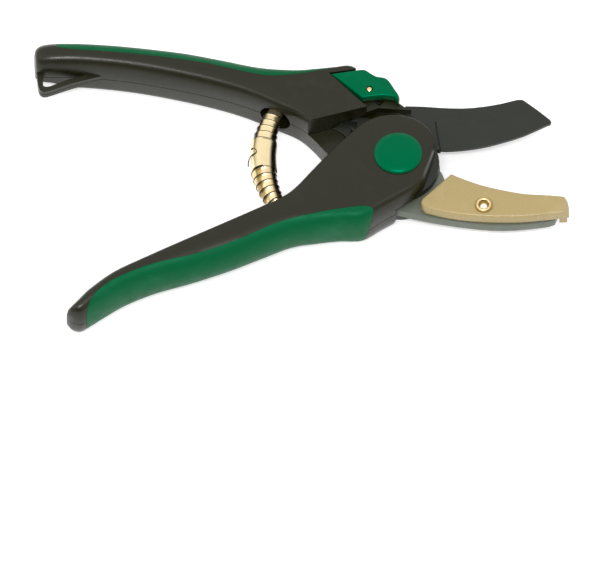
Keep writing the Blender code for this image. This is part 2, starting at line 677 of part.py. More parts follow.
def make_upper_shells():
    top = make_shell("upper_shell_top", "upper_top_half", UPPER_STATIONS, PARTING + GAP / 2, 30,
                     "black_plastic", upper_body)
    bottom = make_shell("upper_shell_bottom", "upper_bottom_half", UPPER_STATIONS, -10,
                        PARTING - GAP / 2, "black_plastic", upper_body)
    relief = [((x, 34.0, -2.0), (x, 34.0, z), (x, 45.0, z), (x, 45.0, -2.0))
              for x, z in ((-142.0, 7.7), (-137.0, 7.7), (-131.0, 5.4), (-124.0, -1.0))]
    cut(bottom, solid_between("loop_relief", relief))
    join(top, loop_half("loop_top", PARTING + GAP / 2, PARTING + LOOP_HALF_T))
    join(bottom, loop_half("loop_bottom", PARTING - LOOP_HALF_T, PARTING - GAP / 2))
    grip_room = groove("upper_groove", UPPER_STATIONS, upper_region)
    socket = spring_socket("upper_socket", UPPER_MOUTH_DEG, -1)
    hollows = [handle_loft("upper_hollow_a", UPPER_STATIONS, WALL, 3, 5),
               handle_loft("upper_hollow_b", UPPER_STATIONS, WALL, 6, 8)]
    screws = [screw_room(f"upper_screw_room_{i}", at, SCREW_TOP + 0.6)
              for i, at in enumerate(UPPER_SCREWS, 1)]
    web = web_space("web_space")
    for shell in (top, bottom):
        cut(shell, grip_room, socket, *hollows, *screws, web)
    cut(top, upper_head_cut("upper_head_cut"))
    cut(top, catch_space("catch_space_top", ARM_Z[1], 30))
    cut(top, catch_space("tongue_space", PARTING - 1, UPPER_CHEEK_BOTTOM))
    cut(top, rod("tail_clear", TAIL_CLEAR_R, 5.0, UPPER_CHEEK_BOTTOM, segments=64))
    cut(top, pin_slot("pin_slot"))
    cut(bottom, catch_space("catch_space_bottom", -10, ARM_Z[0]))
    cut(bottom, rod("bottom_head_clear", HEAD_CLEAR_R, LOWER_CHEEK_TOP, 15, segments=48))
    cut(bottom, tang_pocket("jaw_pocket", jaw_outline()[-JAW_TANG_POINTS:], LOWER_CHEEK_TOP, 15))
    cut(bottom, prism("arm_top_trim", [(-25.0, 20.0), (30.0, 20.0), (30.0, 45.0), (-25.0, 45.0)],
                      JAW_Z[1], 15))
    recess_r = CAP_R + 0.45
    steps = [(0.0, 15.0), (BOLT_HOLE_R, 15.0), (BOLT_HOLE_R, 4.0), (HEAD_BORE_R, 4.0),
             (HEAD_BORE_R, 1.3), (recess_r, 1.3), (recess_r, -5.0), (0.0, -5.0)]
    cut(bottom, turned("bottom_bore", steps))


# ------------------------------------------------------------ catch, lock

CATCH_EDGE = ((-15.5, 38.4), (-13.6, 38.6), (-12.2, 38.2), (-10.5, 36.9), (-8.3, 35.5), (-5.6, 35.0),
              (-4.0, 34.1), (-2.8, 32.4), (-1.5, 30.0), (0.0, 27.5), (0.6, 25.6), (0.3, 24.2))
PIN_AT = (-11.0, 29.6)
PIN_R = 0.9
PIN_PLAY = 0.45          # clearance round the pin in the catch


def pin_slot(name):
    """A slot along the slide for the pin, as long as the catch's travel."""
    end = Vector(PIN_AT) + SLIDE * (LOCK_TRAVEL + 1.6)
    outline = tongue_outline(end, PIN_R + 0.4, LOCK_TRAVEL + 3.2)
    return prism(name, outline, ARM_Z[1] - 4, ARM_Z[1] + 5)


def catch_plate(name, z_low, z_high, collection=None):
    lower_edge = smooth([(-1.2, 26.0), (-5.0, 26.7), (-10.0, 26.2), (-13.7, 25.7)], 2)
    outline = smooth(CATCH_EDGE, 2) + lower_edge + [(-25.8, 36.6)]
    return prism(name, outline, z_low, z_high, CATCH_EDGE_R, collection)


def make_catch():
    catch = catch_plate("lock_catch", ARM_Z[1] + GAP, HANDLE_T, parts)
    join(catch, catch_plate("catch_under", 0.0, ARM_Z[0] - GAP))
    outer = smooth([(-14.9, 38.3), (-13.6, 38.4), (-12.2, 38.0), (-10.5, 36.7), (-8.3, 35.3),
                    (-6.2, 34.9)], 2)
    web = outer + [(-6.6, 32.9), (-9.0, 33.4), (-12.0, 35.6), (-14.9, 36.2)]
    join(catch, prism("catch_web", web, 1.5, HANDLE_T - 1.5))
    cut(catch, rod("catch_pin_hole", PIN_R + PIN_PLAY, 10, 30, PIN_AT, 20))
    finish(catch, "green_plastic", lock_body)
    foot = TONGUE_Z[0]
    pin = turned("lock_pin", [(0.0, 20.0), (0.6, 20.0), (PIN_R, 19.8), (PIN_R, foot), (0.0, foot)],
                 PIN_AT, 20, collection=parts)
    finish(pin, "brass", lock_body)
    tongue = prism("lock_tongue", tongue_outline(TONGUE_TIP, TONGUE_HALF, TONGUE_LENGTH), *TONGUE_Z,
                   collection=parts)
    cut(tongue, rod("tongue_pin_hole", PIN_R + 0.3, 9, 14, PIN_AT, 20))
    finish(tongue, "steel", lock_body)


# ---------------------------------------------------------- pivot, spring

def make_pivot():
    bolt = [(0.0, 19.0), (5.4, 19.0), (6.2, 18.4), (6.6, 17.4), (6.6, 16.6), (BOLT_R, 16.6),
            (BOLT_R, 2.0), (BOLT_R - 0.4, 1.6), (0.0, 1.6)]
    finish(turned("pivot_bolt", bolt, collection=parts), "steel", lower_body)
    washer = ring("pivot_washer", 6.9, BOLT_HOLE_R, 15.5, 16.3, collection=parts)
    finish(washer, "steel", lower_body)
    nut = prism("pivot_nut", hexagon(11.6), 1.6, 3.7, edge=0.3, collection=parts)
    cut(nut, rod("pivot_nut_hole", BOLT_HOLE_R, 0, 6))
    finish(nut, "steel", upper_body)
    dome = [(0.0, 21.9), (3.0, 21.85), (5.6, 21.65), (7.6, 21.35), (8.7, 21.05), (9.2, 20.75),
            (CAP_R, 20.5), (CAP_R, 20.3), (6.9, 20.3), (6.9, 19.4), (0.0, 19.4)]
    finish(turned("pivot_cap_top", dome, segments=48, collection=parts), "green_plastic", lower_body)
    finish(rod("pivot_cap_bottom", CAP_R, 0.0, 1.0, segments=48, collection=parts), "green_plastic",
           upper_body)


def make_spring():
    """The double-cone return spring's envelope: a tube on an arc, fat in the middle."""
    seat = math.degrees((SOCKET_DEPTH - 0.8) / SPRING_ARC_R)
    start, end = UPPER_MOUTH_DEG - seat, LOWER_MOUTH_DEG + seat
    along, around = 16, 12
    build = bmesh.new()
    skins = []
    for wall in (0.0, SPRING_WALL):
        rings = []
        for i in range(along + 1):
            t = i / along
            fat = math.sin(math.pi * min(max((t - 0.08) / 0.84, 0.0), 1.0)) ** 0.6
            radius = SPRING_END_R + (SPRING_R - SPRING_END_R) * fat - wall
            angle = math.radians(start + (end - start) * t)
            ring_verts = []
            for k in range(around):
                turn = math.tau * k / around
                reach = SPRING_ARC_R + radius * math.cos(turn)
                height = PARTING + radius * math.sin(turn)
                spot = Vector((reach * math.cos(angle), reach * math.sin(angle), height))
                ring_verts.append(build.verts.new(spot * MM))
            rings.append(ring_verts)
        skins.append(rings)
    outer, inner = skins
    for rings in skins:
        for one, two in zip(rings, rings[1:]):
            for k in range(around):
                j = (k + 1) % around
                build.faces.new((one[k], one[j], two[j], two[k]))
    for end_index in (0, -1):
        for k in range(around):
            j = (k + 1) % around
            build.faces.new((outer[end_index][k], outer[end_index][j],
                             inner[end_index][j], inner[end_index][k]))
    bmesh.ops.recalc_face_normals(build, faces=build.faces)
    mesh = bpy.data.meshes.new("return_spring")
    build.to_mesh(mesh)
    build.free()
    finish(link(mesh, "return_spring", parts), "brass", lower_body)


# ------------------------------------------------------------------ build

clear_scene()
parts = new_collection(PARTS_NAME)
cutters = new_collection("cutters")
materials = {name: make_material(name) for name in FINISH}

lower_body = bpy.data.objects.new("lower_body", None)
upper_body = bpy.data.objects.new("upper_body", None)
lock_body = bpy.data.objects.new("lock_body", None)
for empty in (lower_body, upper_body, lock_body):
    parts.objects.link(empty)
upper_body.parent = lower_body
lock_body.parent = upper_body

make_lower_shells()
make_grip("lower_grip", LOWER_STATIONS, lower_region, lower_body)
make_blade()
make_upper_shells()
make_grip("upper_grip", UPPER_STATIONS, upper_region, upper_body)
make_jaw_plate()
make_anvil()
make_anvil_fixings()
make_catch()
make_pivot()
make_spring()
for number, place in enumerate(LOWER_SCREWS, 1):
    handle_screw(f"lower_screw_{number}", place, lower_body)
for number, place in enumerate(UPPER_SCREWS, 1):
    handle_screw(f"upper_screw_{number}", place, upper_body)
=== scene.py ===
"""The looks of the anvil pruners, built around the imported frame.

Lengths are in millimetres and become metres where a mesh is made, in the
frame's own axes: +X to the blade's tip, +Y to the upper handle, +Z up.
"""

import json
import math

import bmesh
import bpy
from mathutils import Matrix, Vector

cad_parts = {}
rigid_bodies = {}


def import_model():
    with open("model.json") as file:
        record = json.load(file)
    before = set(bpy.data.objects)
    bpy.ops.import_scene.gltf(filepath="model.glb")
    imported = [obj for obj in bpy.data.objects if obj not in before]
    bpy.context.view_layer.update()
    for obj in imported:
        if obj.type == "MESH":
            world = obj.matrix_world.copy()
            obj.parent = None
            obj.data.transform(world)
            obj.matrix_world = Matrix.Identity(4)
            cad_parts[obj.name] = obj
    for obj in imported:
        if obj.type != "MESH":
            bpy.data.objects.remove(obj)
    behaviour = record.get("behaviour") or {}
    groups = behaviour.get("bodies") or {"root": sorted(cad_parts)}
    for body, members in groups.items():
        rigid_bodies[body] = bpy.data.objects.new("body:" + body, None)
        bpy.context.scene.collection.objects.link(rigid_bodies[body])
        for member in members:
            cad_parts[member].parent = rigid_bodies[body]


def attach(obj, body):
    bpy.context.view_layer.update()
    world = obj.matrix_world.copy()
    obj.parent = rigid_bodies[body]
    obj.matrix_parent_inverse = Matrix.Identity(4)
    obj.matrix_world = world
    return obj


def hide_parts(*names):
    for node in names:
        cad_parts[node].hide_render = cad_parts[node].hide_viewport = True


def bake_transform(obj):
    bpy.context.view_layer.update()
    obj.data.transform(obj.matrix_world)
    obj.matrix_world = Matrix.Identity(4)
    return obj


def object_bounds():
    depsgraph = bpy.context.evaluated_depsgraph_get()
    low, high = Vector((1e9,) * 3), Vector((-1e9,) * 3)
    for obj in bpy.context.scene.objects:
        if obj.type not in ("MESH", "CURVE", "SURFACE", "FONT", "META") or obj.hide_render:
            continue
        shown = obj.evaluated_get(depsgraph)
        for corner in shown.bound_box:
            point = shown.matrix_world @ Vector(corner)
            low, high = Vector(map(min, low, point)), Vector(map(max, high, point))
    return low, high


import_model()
cad_box = [list(corner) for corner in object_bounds()]

MM = 0.001
LOOK = "_look"  # ending of the names of the pieces that stand for CAD nodes
BELOW = -10.0  # heights clear of the tool, for cuts that go right through
ABOVE = 30.0
ALL_ROUND = ((-160, -100), (90, -100), (90, 80), (-160, 80))  # clear of the tool on every side

# Driving dimensions
HANDLE_T = 20.0  # thickness of both handles
PARTING = 10.0  # height where the two half shells of a handle meet
GAP = 0.3  # clearance between neighbouring pieces
GRIP_GAP = 0.08  # clearance round a moulded-on grip
WALL = 4.5  # skin left around the hollows of the handles
GRIP_T = 2.0  # thickness of the soft grips
CLOSING_DEG = 32.0  # travel of the handles
LOCK_TRAVEL = 5.0  # travel of the catch

# Levels of the pivot stack
LOWER_CHEEK_TOP = 5.7
JAW_Z = (6, 9.8)
BLADE_Z = (10.1, 13.1)
UPPER_CHEEK_BOTTOM = 13.4

# Pivot
BOLT_R = 4.0
BOLT_HOLE_R = 4.3
HEAD_BORE_R = 7.4
CAP_R = 9.35

# Catch and the arms that it slides on
ARM_Z = (4, 16)
CATCH_EDGE_R = 0.8  # rounding of the catch
TONGUE_Z = (10.4, 12.8)
SLIDE_ANGLE = math.radians(-42.8)
SLIDE = Vector((math.cos(SLIDE_ANGLE), math.sin(SLIDE_ANGLE)))

# Return spring, on an arc about the pivot
SPRING_ARC_R = 52.3
SPRING_R = 5.35  # outside of the barrel
SOCKET_R = 6.3
SOCKET_DEPTH = 8.5
SOCKET_LEAD = 6.0  # how far the socket's cut starts in front of its mouth
UPPER_MOUTH_DEG = 155.2
LOWER_MOUTH_DEG = 202.5

# Anvil
ANVIL_Z = (10.1, 15.2)
ANVIL_SCREW_AT = (32.8, -20.5)
BITE_GAP = 0.35  # left between the blade's edge and the anvil when closed
HOOK_BOTTOM = 6.5
ANVIL_END_X = 65.6
ANVIL_HOLE_R = 2.6
ANVIL_SHANK_R = 2.3
ANVIL_EDGE_R = 0.85  # rounding of the anvil's rims
ANVIL_NUT_Z = 3.4

# The lower grip's end by the pivot leans back by this much for each unit of depth
GRIP_END_X = -9.2
GRIP_END_SLANT = 0.22
GRIP_REACH = 30.0  # how far the room for a grip runs out past the handle

# Handle screws, driven from the underside
LOWER_SCREWS = ((-100.8, -49.3), (-69, -35.5), (-29, -17))
UPPER_SCREWS = ((-101, 42), (-70, 36), (-29, 23.5))
SCREW_HEAD_R = 2.0
SCREW_HEAD_Z = (0.8, 2.9)
SCREW_R = 1.3
SCREW_TOP = 15.5
SCREW_ROOM_TOP = 16.1  # blind end of a handle screw's hole
SCREW_TURN = 12  # sides of these screws and their holes
TANG_HOLE_R = 1.7  # hole for a handle screw in a tang

# Heights past both faces of a plate, for the holes through it
THROUGH_JAW = (4, 12)
THROUGH_ANVIL = (5, 17)
THROUGH_BLADE = (8, 15)
THROUGH_ANVIL_NUT = (2, 7)
THROUGH_PIVOT_NUT = (0, 6)

CORNER_TALL = 2.3  # height of the upper inner corners for each unit of their depth
FLATTEST = 0.02  # least height left between a section's corner and its middle

# A station across a handle: x and y of its inner and outer points, inner corner depth,
# outer nose depth, outer nose half height, half thickness
LOWER_STATIONS = (
    (-127, -68.4, -125.6, -70, 0.9, 0.9, 4.2, 4.4),
    (-126.6, -67.2, -123.6, -71, 2, 2.4, 6.6, 6.8),
    (-125.2, -65.4, -120.6, -71, 3.4, 4.6, 8.6, 8.8),
    (-122.6, -62.3, -116.8, -68.4, 4, 6.6, 9.6, 9.6),
    (-119, -58.5, -112.2, -65, 4, 7.8, 10, 10),
    (-110, -51, -103.6, -59.4, 4, 8, 10, 10),
    (-98, -44.3, -92.6, -54.4, 4, 8, 10, 10),
    (-84, -37, -78.8, -50.2, 4, 8, 10, 10),
    (-71, -30.7, -65, -45.1, 3.6, 7.6, 10, 10),
    (-58, -24.5, -51.6, -38.9, 3, 7, 10, 10),
    (-45.5, -18.4, -40.5, -33.8, 2.4, 6.4, 9.8, 10),
    (-39.5, -14.1, -31.5, -31.8, 1.6, 5.8, 9.4, 10),
    (-33, -6.5, -22, -30.2, 1.2, 5, 8.6, 10),
    (-26, 1.6, -13.2, -29.5, 1, 4.2, 8.2, 10),
    (-19, 9.3, -6, -24.6, 1, 3.6, 8, 10),
    (-12, 15.8, 1.2, -19.9, 1.2, 3.4, 7.8, 10),
    (-4, 18.8, 8.2, -14.6, 1.6, 3, 7.4, 10),
    (4.4, 17.7, 11.2, -7, 1.8, 2.8, 6.6, 10),
    (10.6, 13.6, 12.9, -1, 1.8, 2.2, 5.2, 10),
    (13.8, 8.6, 14.1, 4.6, 1.2, 1.4, 3.2, 10),
)
UPPER_STATIONS = (
    (-139.6, 43.4, -140.2, 49, 2, 2.6, 5.4, 5.6),
    (-139, 42, -139.6, 51.4, 3, 4.4, 7.6, 7.8),
    (-137, 41.1, -137.4, 53.2, 3.8, 6.4, 9.2, 9.2),
    (-132, 41, -132, 53.8, 4, 7.6, 10, 10),
    (-123, 41, -122.4, 53.8, 4, 8, 10, 10),
    (-111, 39.9, -109.6, 53, 4, 8, 10, 10),
    (-98, 37.9, -96, 51.5, 4, 8, 10, 10),
    (-84, 34.9, -81, 49.4, 3.8, 7.8, 10, 10),
    (-71, 31.6, -66.6, 46.2, 3.4, 7.4, 10, 10),
    (-59, 27.6, -53, 42.9, 3, 6.8, 10, 10),
    (-47, 22.2, -39.6, 41.2, 2.4, 5.4, 9, 10),
    (-38.6, 18.3, -31, 41.1, 1.8, 4, 7, 10),
    (-33.4, 13.8, -24, 41.3, 1.4, 3, 5, 10),
    (-28.6, 8, -18.8, 41.4, 1.2, 2.4, 3, 10),
    (-24, 2.7, -14.6, 39, 1.2, 2, 2.2, 10),
    (-19, -3.1, -6, 33, 1.2, 2, 2.2, 10),
    (-14, -9, 1.5, 26.5, 1.2, 2, 2.2, 10),
    (-8.2, -15.4, 8.4, 18.2, 1.4, 2, 2.2, 10),
    (0.5, -18.2, 13.4, 11.6, 1.6, 2, 2.2, 10),
    (8.6, -16, 15.8, 4.6, 1.8, 2, 2.2, 10),
    (14, -10, 16.2, -1.6, 1.6, 1.6, 1.8, 10),
    (15.7, -6.6, 16.1, -4.6, 0.6, 0.6, 0.8, 10),
)
STATION_STEPS = 5  # lofted sections for each gap between stations
INNER_CORNER_STEPS = 5
NOSE_STEPS = 9

# Borders of the grips on the handles' faces, from the free end to the head
LOWER_GRIP_BORDER = (
    (-118.8, -67.6), (-116, -62.8), (-110, -57.4), (-102, -53), (-92.5, -49.1),
    (-80, -45.6), (-70, -42), (-60, -37.7), (-50, -32.6), (-42, -29.3),
    (-30, -26.3), (-20, -24.4), (-13, -23.6), (-10, -24.4),
)
UPPER_GRIP_BORDER = (
    (-131.5, 49), (-127.5, 48), (-115, 47), (-100, 45.6), (-85, 43.4),
    (-72, 41.1), (-60, 37.8), (-52, 36), (-45, 35.8), (-36, 36.9), (-27, 39),
)


# ---- helpers

def new_collection(name):
    made = bpy.data.collections.new(name)
    bpy.context.scene.collection.children.link(made)
    return made


def polar(radius, degrees):
    angle = math.radians(degrees)
    return (radius * math.cos(angle), radius * math.sin(angle))


def arc(centre, radius, start_deg, end_deg, steps):
    """Points on an arc, ends included."""
    points = []
    for i in range(steps + 1):
        x, y = polar(radius, start_deg + (end_deg - start_deg) * i / steps)
        points.append((centre[0] + x, centre[1] + y))
    return points


def smooth(rows, steps=3):
    """Catmull-Rom curves through every row of numbers, with steps between rows."""
    last = len(rows) - 1
    out = []
    for i in range(last):
        before, start, end, after = rows[max(i - 1, 0)], rows[i], rows[i + 1], rows[min(i + 2, last)]
        for k in range(steps):
            t = k / steps
            row = []
            for a, b, c, d in zip(before, start, end, after):
                bend = (2 * a - 5 * b + 4 * c - d) * t * t + (3 * b - a - 3 * c + d) * t * t * t
                row.append(0.5 * (2 * b + (c - a) * t + bend))
            out.append(tuple(row))
    out.append(tuple(rows[last]))
    return out


def link(mesh, name):
    """A new object, a cutter until it is kept as a piece."""
    made = bpy.data.objects.new(name + LOOK, mesh)
    cutters.objects.link(made)
    return made


def keep_piece(made):
    cutters.objects.unlink(made)
    parts.objects.link(made)


def evaluated_mesh(made):
    """An object's mesh with its modifiers' result."""
    bpy.context.view_layer.update()
    evaluated = made.evaluated_get(bpy.context.evaluated_depsgraph_get())
    return bpy.data.meshes.new_from_object(evaluated)


def mesh_of(build, name):
    """A mesh from what a bmesh holds, which is then freed."""
    mesh = bpy.data.meshes.new(name)
    build.to_mesh(mesh)
    build.free()
    return mesh


def finish(made, material, body, sharp_deg=35):
    """Bake a piece, give it its material and let it stand for the CAD node of its name."""
    node = made.name[:-len(LOOK)]
    keep_piece(made)
    baked = evaluated_mesh(made)
    made.modifiers.clear()
    made.data = baked
    made.data.materials.clear()
    made.data.materials.append(materials[material])
    made.data.shade_smooth()
    made.data.set_sharp_from_angle(angle=math.radians(sharp_deg))
    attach(made, body)
    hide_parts(node)
    return made


def prism(name, outline, z_low, z_high, edge=0.0):
    """A flat outline with thickness, its rims rounded by edge."""
    curve = bpy.data.curves.new(name, "CURVE")
    curve.dimensions = "2D"
    curve.fill_mode = "BOTH"
    spline = curve.splines.new("POLY")
    spline.points.add(len(outline) - 1)
    for point, (x, y) in zip(spline.points, outline):
        point.co = (x * MM, y * MM, 0.0, 1.0)
    spline.use_cyclic_u = True
    curve.extrude = ((z_high - z_low) / 2 - edge) * MM
    if edge:
        curve.bevel_depth = edge * MM
        curve.bevel_resolution = 3
        curve.offset = -edge * MM
    guide = link(curve, name + "_curve")
    mesh = evaluated_mesh(guide)
    bpy.data.objects.remove(guide)
    weld = bmesh.new()
    weld.from_mesh(mesh)
    bmesh.ops.remove_doubles(weld, verts=weld.verts, dist=1e-6)
    bmesh.ops.translate(weld, verts=weld.verts, vec=(0, 0, (z_low + z_high) / 2 * MM))
    bmesh.ops.recalc_face_normals(weld, faces=weld.faces)
    weld.to_mesh(mesh)
    weld.free()
    return link(mesh, name)


def turned(name, profile, at=(0, 0), segments=32, closed=False):
    """A profile of (radius, height) pairs, run down its outer side, turned about Z."""
    mesh = bpy.data.meshes.new(name)
    count = len(profile)
    edges = [(i, i + 1) for i in range(count - 1)]
    if closed:
        edges.append((count - 1, 0))
    mesh.from_pydata([(r * MM, 0.0, z * MM) for r, z in profile], edges, [])
    made = link(mesh, name)
    made.location = (at[0] * MM, at[1] * MM, 0.0)
    screw = made.modifiers.new("turn", "SCREW")
    screw.steps = segments
    screw.render_steps = segments
    screw.use_merge_vertices = True
    screw.merge_threshold = 1e-6
    screw.use_smooth_shade = False
    return made


def rod(name, radius, z_low, z_high, at=(0, 0), segments=32):
    profile = [(0.0, z_high), (radius, z_high), (radius, z_low), (0.0, z_low)]
    return turned(name, profile, at, segments)


def hexagon(across_flats, centre=(0, 0)):
    return arc(centre, across_flats / math.sqrt(3), 0, 300, 5)


def solid_between(name, sections):
    """A closed body through sections that have the same number of points."""
    build = bmesh.new()
    rings = [[build.verts.new(Vector(point) * MM) for point in row] for row in sections]
    count = len(rings[0])
    for one, two in zip(rings, rings[1:]):
        for i in range(count):
            j = (i + 1) % count
            build.faces.new((one[i], one[j], two[j], two[i]))
    build.faces.new(rings[0])
    build.faces.new(list(reversed(rings[-1])))
    bmesh.ops.recalc_face_normals(build, faces=build.faces)
    return link(mesh_of(build, name), name)


def boolean(target, operation, *tools):
    for tool in tools:
        step = target.modifiers.new(tool.name, "BOOLEAN")
        step.operation = operation
        step.solver = "EXACT"
        step.object = tool


def cut(target, *tools):
    boolean(target, "DIFFERENCE", *tools)


def join(target, *tools):
    boolean(target, "UNION", *tools)


def keep(target, *tools):
    boolean(target, "INTERSECT", *tools)


# ---- handles

def section(station, inset):
    """Points around one section of a handle, in millimetres."""
    ix, iy, ox, oy, corner, nose, nose_half, half = station
    inner = Vector((ix, iy))
    across = Vector((ox, oy)) - inner
    width = across.length
    across.normalize()
    near = min(inset, width / 2 - 0.4)
    far = width - near
    half = max(half - inset, 1.0)
    corner = min(max(corner - inset, 0.3), (far - near) / 2 - 0.05)
    nose = min(max(nose - inset, 0.3), (far - near) / 2)
    nose_half = max(min(nose_half - inset, half - FLATTEST), 0.3)
    corner_half = min(corner * CORNER_TALL, half - FLATTEST)
    over, under = [], []
    for i in range(INNER_CORNER_STEPS, -1, -1):
        angle = math.pi / 2 * i / INNER_CORNER_STEPS
        u, fall = near + corner * (1 - math.sin(angle)), 1 - math.cos(angle)
        over.append((u, half - corner_half * fall))
        under.append((u, half - corner * fall))
    for i in range(NOSE_STEPS + 1):
        angle = math.pi / 2 * i / NOSE_STEPS
        point = (far - nose * (1 - math.sin(angle)), half - nose_half * (1 - math.cos(angle)))
        over.append(point)
        under.append(point)
    if over[-1][1] < 1e-3:
        over[-1] = (over[-1][0], 0.0)
        under.pop()
    loop = over + [(u, -w) for u, w in reversed(under)]
    return [(*(inner + across * u), PARTING + w) for u, w in loop]


def handle_loft(name, stations, inset=0.0, span=None):
    """A handle's outer form, or the form drawn in by inset, whole or between two stations."""
    rows = smooth(stations, STATION_STEPS)
    if span:
        rows = rows[span[0] * STATION_STEPS:span[1] * STATION_STEPS + 1]
    return solid_between(name, [section(row, inset) for row in rows])


def grip_region(name, border, ends, outward, grow):
    """A tall prism over the strip of handle that a grip covers."""
    path = [(x, y - outward * grow) for x, y in smooth(border, 2)]
    left, right = ends
    path = [(left[0] - grow, left[1] - outward * grow)] + path + [(right[0] + grow, right[1])]
    far = [(right[0] + grow - 1.0, right[1] + outward * GRIP_REACH),
           (left[0] - grow, left[1] + outward * GRIP_REACH)]
    return prism(name, path + far, -2.0, HANDLE_T + 2.0)


def lower_region(name, grow):
    area = grip_region(name, LOWER_GRIP_BORDER, ((-119.4, -70), (-9, -26)), -1, grow)
    top, foot = HANDLE_T + 3.0, -3.0
    top_x, foot_x = (GRIP_END_X + grow - GRIP_END_SLANT * (HANDLE_T - z) for z in (top, foot))
    beyond = [((top_x, y, top), (top_x + 20.0, y, top), (top_x + 20.0, y, foot), (foot_x, y, foot))
              for y in (-60, -10)]
    cut(area, solid_between(name + "_beyond", beyond))
    return area


def upper_region(name, grow):
    return grip_region(name, UPPER_GRIP_BORDER, ((-131.9, 49.6), (-26.5, 39.4)), 1, grow)


def make_grip(name, stations, region, parent):
    grip = handle_loft(name, stations)
    keep(grip, region(name + "_area", 0.0))
    cut(grip, handle_loft(name + "_inside", stations, GRIP_T))
    return finish(grip, "green_rubber", parent)


def groove(name, stations, region):
    """The room that a shell leaves for its grip."""
    room = region(name, GRIP_GAP)
    cut(room, handle_loft(name + "_floor", stations, GRIP_T + GAP))
    return room


def spring_socket(name, mouth_deg, inward):
    """A round pocket square to the spring's arc, from its mouth into a handle."""
    mouth = Vector(polar(SPRING_ARC_R, mouth_deg))
    tangent = Vector(polar(inward, mouth_deg + 90.0))
    middle = mouth + tangent * (SOCKET_DEPTH - SOCKET_LEAD) / 2
    build = bmesh.new()
    bmesh.ops.create_cone(build, cap_ends=True, segments=24, radius1=SOCKET_R * MM,
                          radius2=SOCKET_R * MM, depth=(SOCKET_DEPTH + SOCKET_LEAD) * MM)
    made = link(mesh_of(build, name), name)
    made.location = (middle.x * MM, middle.y * MM, PARTING * MM)
    made.rotation_euler = (math.pi / 2, 0.0, math.atan2(tangent.y, tangent.x) + math.pi / 2)
    return made


def screw_room(name, at):
    """A stepped hole for a handle screw, wide at the underside."""
    seat = SCREW_HEAD_Z[1] + GAP
    profile = [(0.0, SCREW_ROOM_TOP), (SCREW_R + GAP, SCREW_ROOM_TOP), (SCREW_R + GAP, seat),
               (SCREW_HEAD_R + GAP, seat), (SCREW_HEAD_R + GAP, -1.0), (0, -1)]
    return turned(name, profile, at, SCREW_TURN)


def handle_screw(name, at, parent):
    """A pan-head screw with a chamfered tip and a plain round recess."""
    head_low, head_high = SCREW_HEAD_Z
    profile = [(0.0, SCREW_TOP), (SCREW_R - 0.5, SCREW_TOP), (SCREW_R, SCREW_TOP - 1.5),
               (SCREW_R, head_high), (SCREW_HEAD_R, head_high), (SCREW_HEAD_R, head_low + 0.5),
               (SCREW_HEAD_R - 0.6, head_low), (1.0, head_low), (0.8, head_low + 0.9),
               (0.0, head_low + 0.9)]
    return finish(turned(name, profile, at, SCREW_TURN), "steel", parent)


def half_shells(side, stations):
    """The top and bottom halves of a handle's outer form."""
    halves = []
    for half, span in (("top", (PARTING + GAP / 2, ABOVE)), ("bottom", (BELOW, PARTING - GAP / 2))):
        shell = handle_loft(f"{side}_shell_{half}", stations)
        keep(shell, prism(f"{side}_{half}_half", ALL_ROUND, *span))
        halves.append(shell)
    return halves


def shell_rooms(side, stations, region, mouth_deg, inward, hollow_spans, screw_places):
    """What both half shells of a handle leave free: grip, spring, hollows and screws."""
    rooms = [groove(side + "_groove", stations, region),
             spring_socket(side + "_socket", mouth_deg, inward)]
    for span in hollow_spans:
        rooms.append(handle_loft(f"{side}_hollow_{span[0]}", stations, WALL, span))
    for i, at in enumerate(screw_places, 1):
        rooms.append(screw_room(f"{side}_screw_room_{i}", at))
    return rooms


# ---- lower body

HEAD_CLEAR_R = 21.4  # room round the pivot for the other body's head
TAIL_CLEAR_R = 30.0  # room for the blade's tail to turn in
TANG_PLAY = 0.45  # clearance round a tang in its pocket

BLADE_TANG = ((-17.5, 15), (-16.2, 10), (-18.5, 3), (-25, -5), (-33, -13), (-37.4, -17.6),
              (-37.8, -21), (-36.2, -24.6), (-32, -25.6), (-18, -22), (-9, -17.5))
BLADE_EDGE = ((57.4, 18), (52.5, 15.3), (47.5, 12.8), (40, 10.1), (32.5, 7.9), (25, 6.6),
              (18.5, 6.1))


def blade_outline():
    back = [(3, 26), (10, 25.8), (16, 25.3), (25, 25), (33, 25.8), (40, 27.2),
            (45.5, 28.8), (47.4, 28.95), (49, 28.2), (57.4, 21)]
    tip = [(58.6, 19.9), (59, 19), (58.4, 18.3)]
    edge = smooth(BLADE_EDGE)
    heel = [(14.5, 6.5)]
    head = arc((0, 0), 15.9, 22.0, -110.0, 14)
    tang = smooth(list(reversed(BLADE_TANG)), 2)
    hook = [(-19.9, 18), (-18.2, 19.3), (-15.6, 20.9), (-11.5, 20.6)]
    tail = arc((0, 0), 20.9, 113.0, 96.0, 4)
    return smooth(back, 2) + tip + edge + heel + head + tang + hook + tail + [(0.4, 22.8)]


def tongue_outline(tip, half_width, length):
    """A strip along the slide, with its end at tip."""
    side = Vector((-SLIDE.y, SLIDE.x)) * half_width
    back = SLIDE * -length
    tip = Vector(tip)
    return [tuple(at) for at in (tip + side, tip + side + back, tip - side + back, tip - side)]


def rotated(points, degrees):
    turn = math.radians(degrees)
    c, s = math.cos(turn), math.sin(turn)
    return [(x * c - y * s, x * s + y * c) for x, y in points]


TONGUE_TIP = (-8.2, 26.5)
TONGUE_HALF = 1.3
TONGUE_LENGTH = 9.0


def lock_slot(name):
    """The notch in the blade's tail, where the tongue stands when closed and locked."""
    end = Vector(TONGUE_TIP) + SLIDE * (LOCK_TRAVEL + GAP)
    outline = tongue_outline(end, TONGUE_HALF + GAP, 14.0)
    return prism(name, rotated(outline, CLOSING_DEG), BLADE_Z[0] - 1, BLADE_Z[1] + 1)


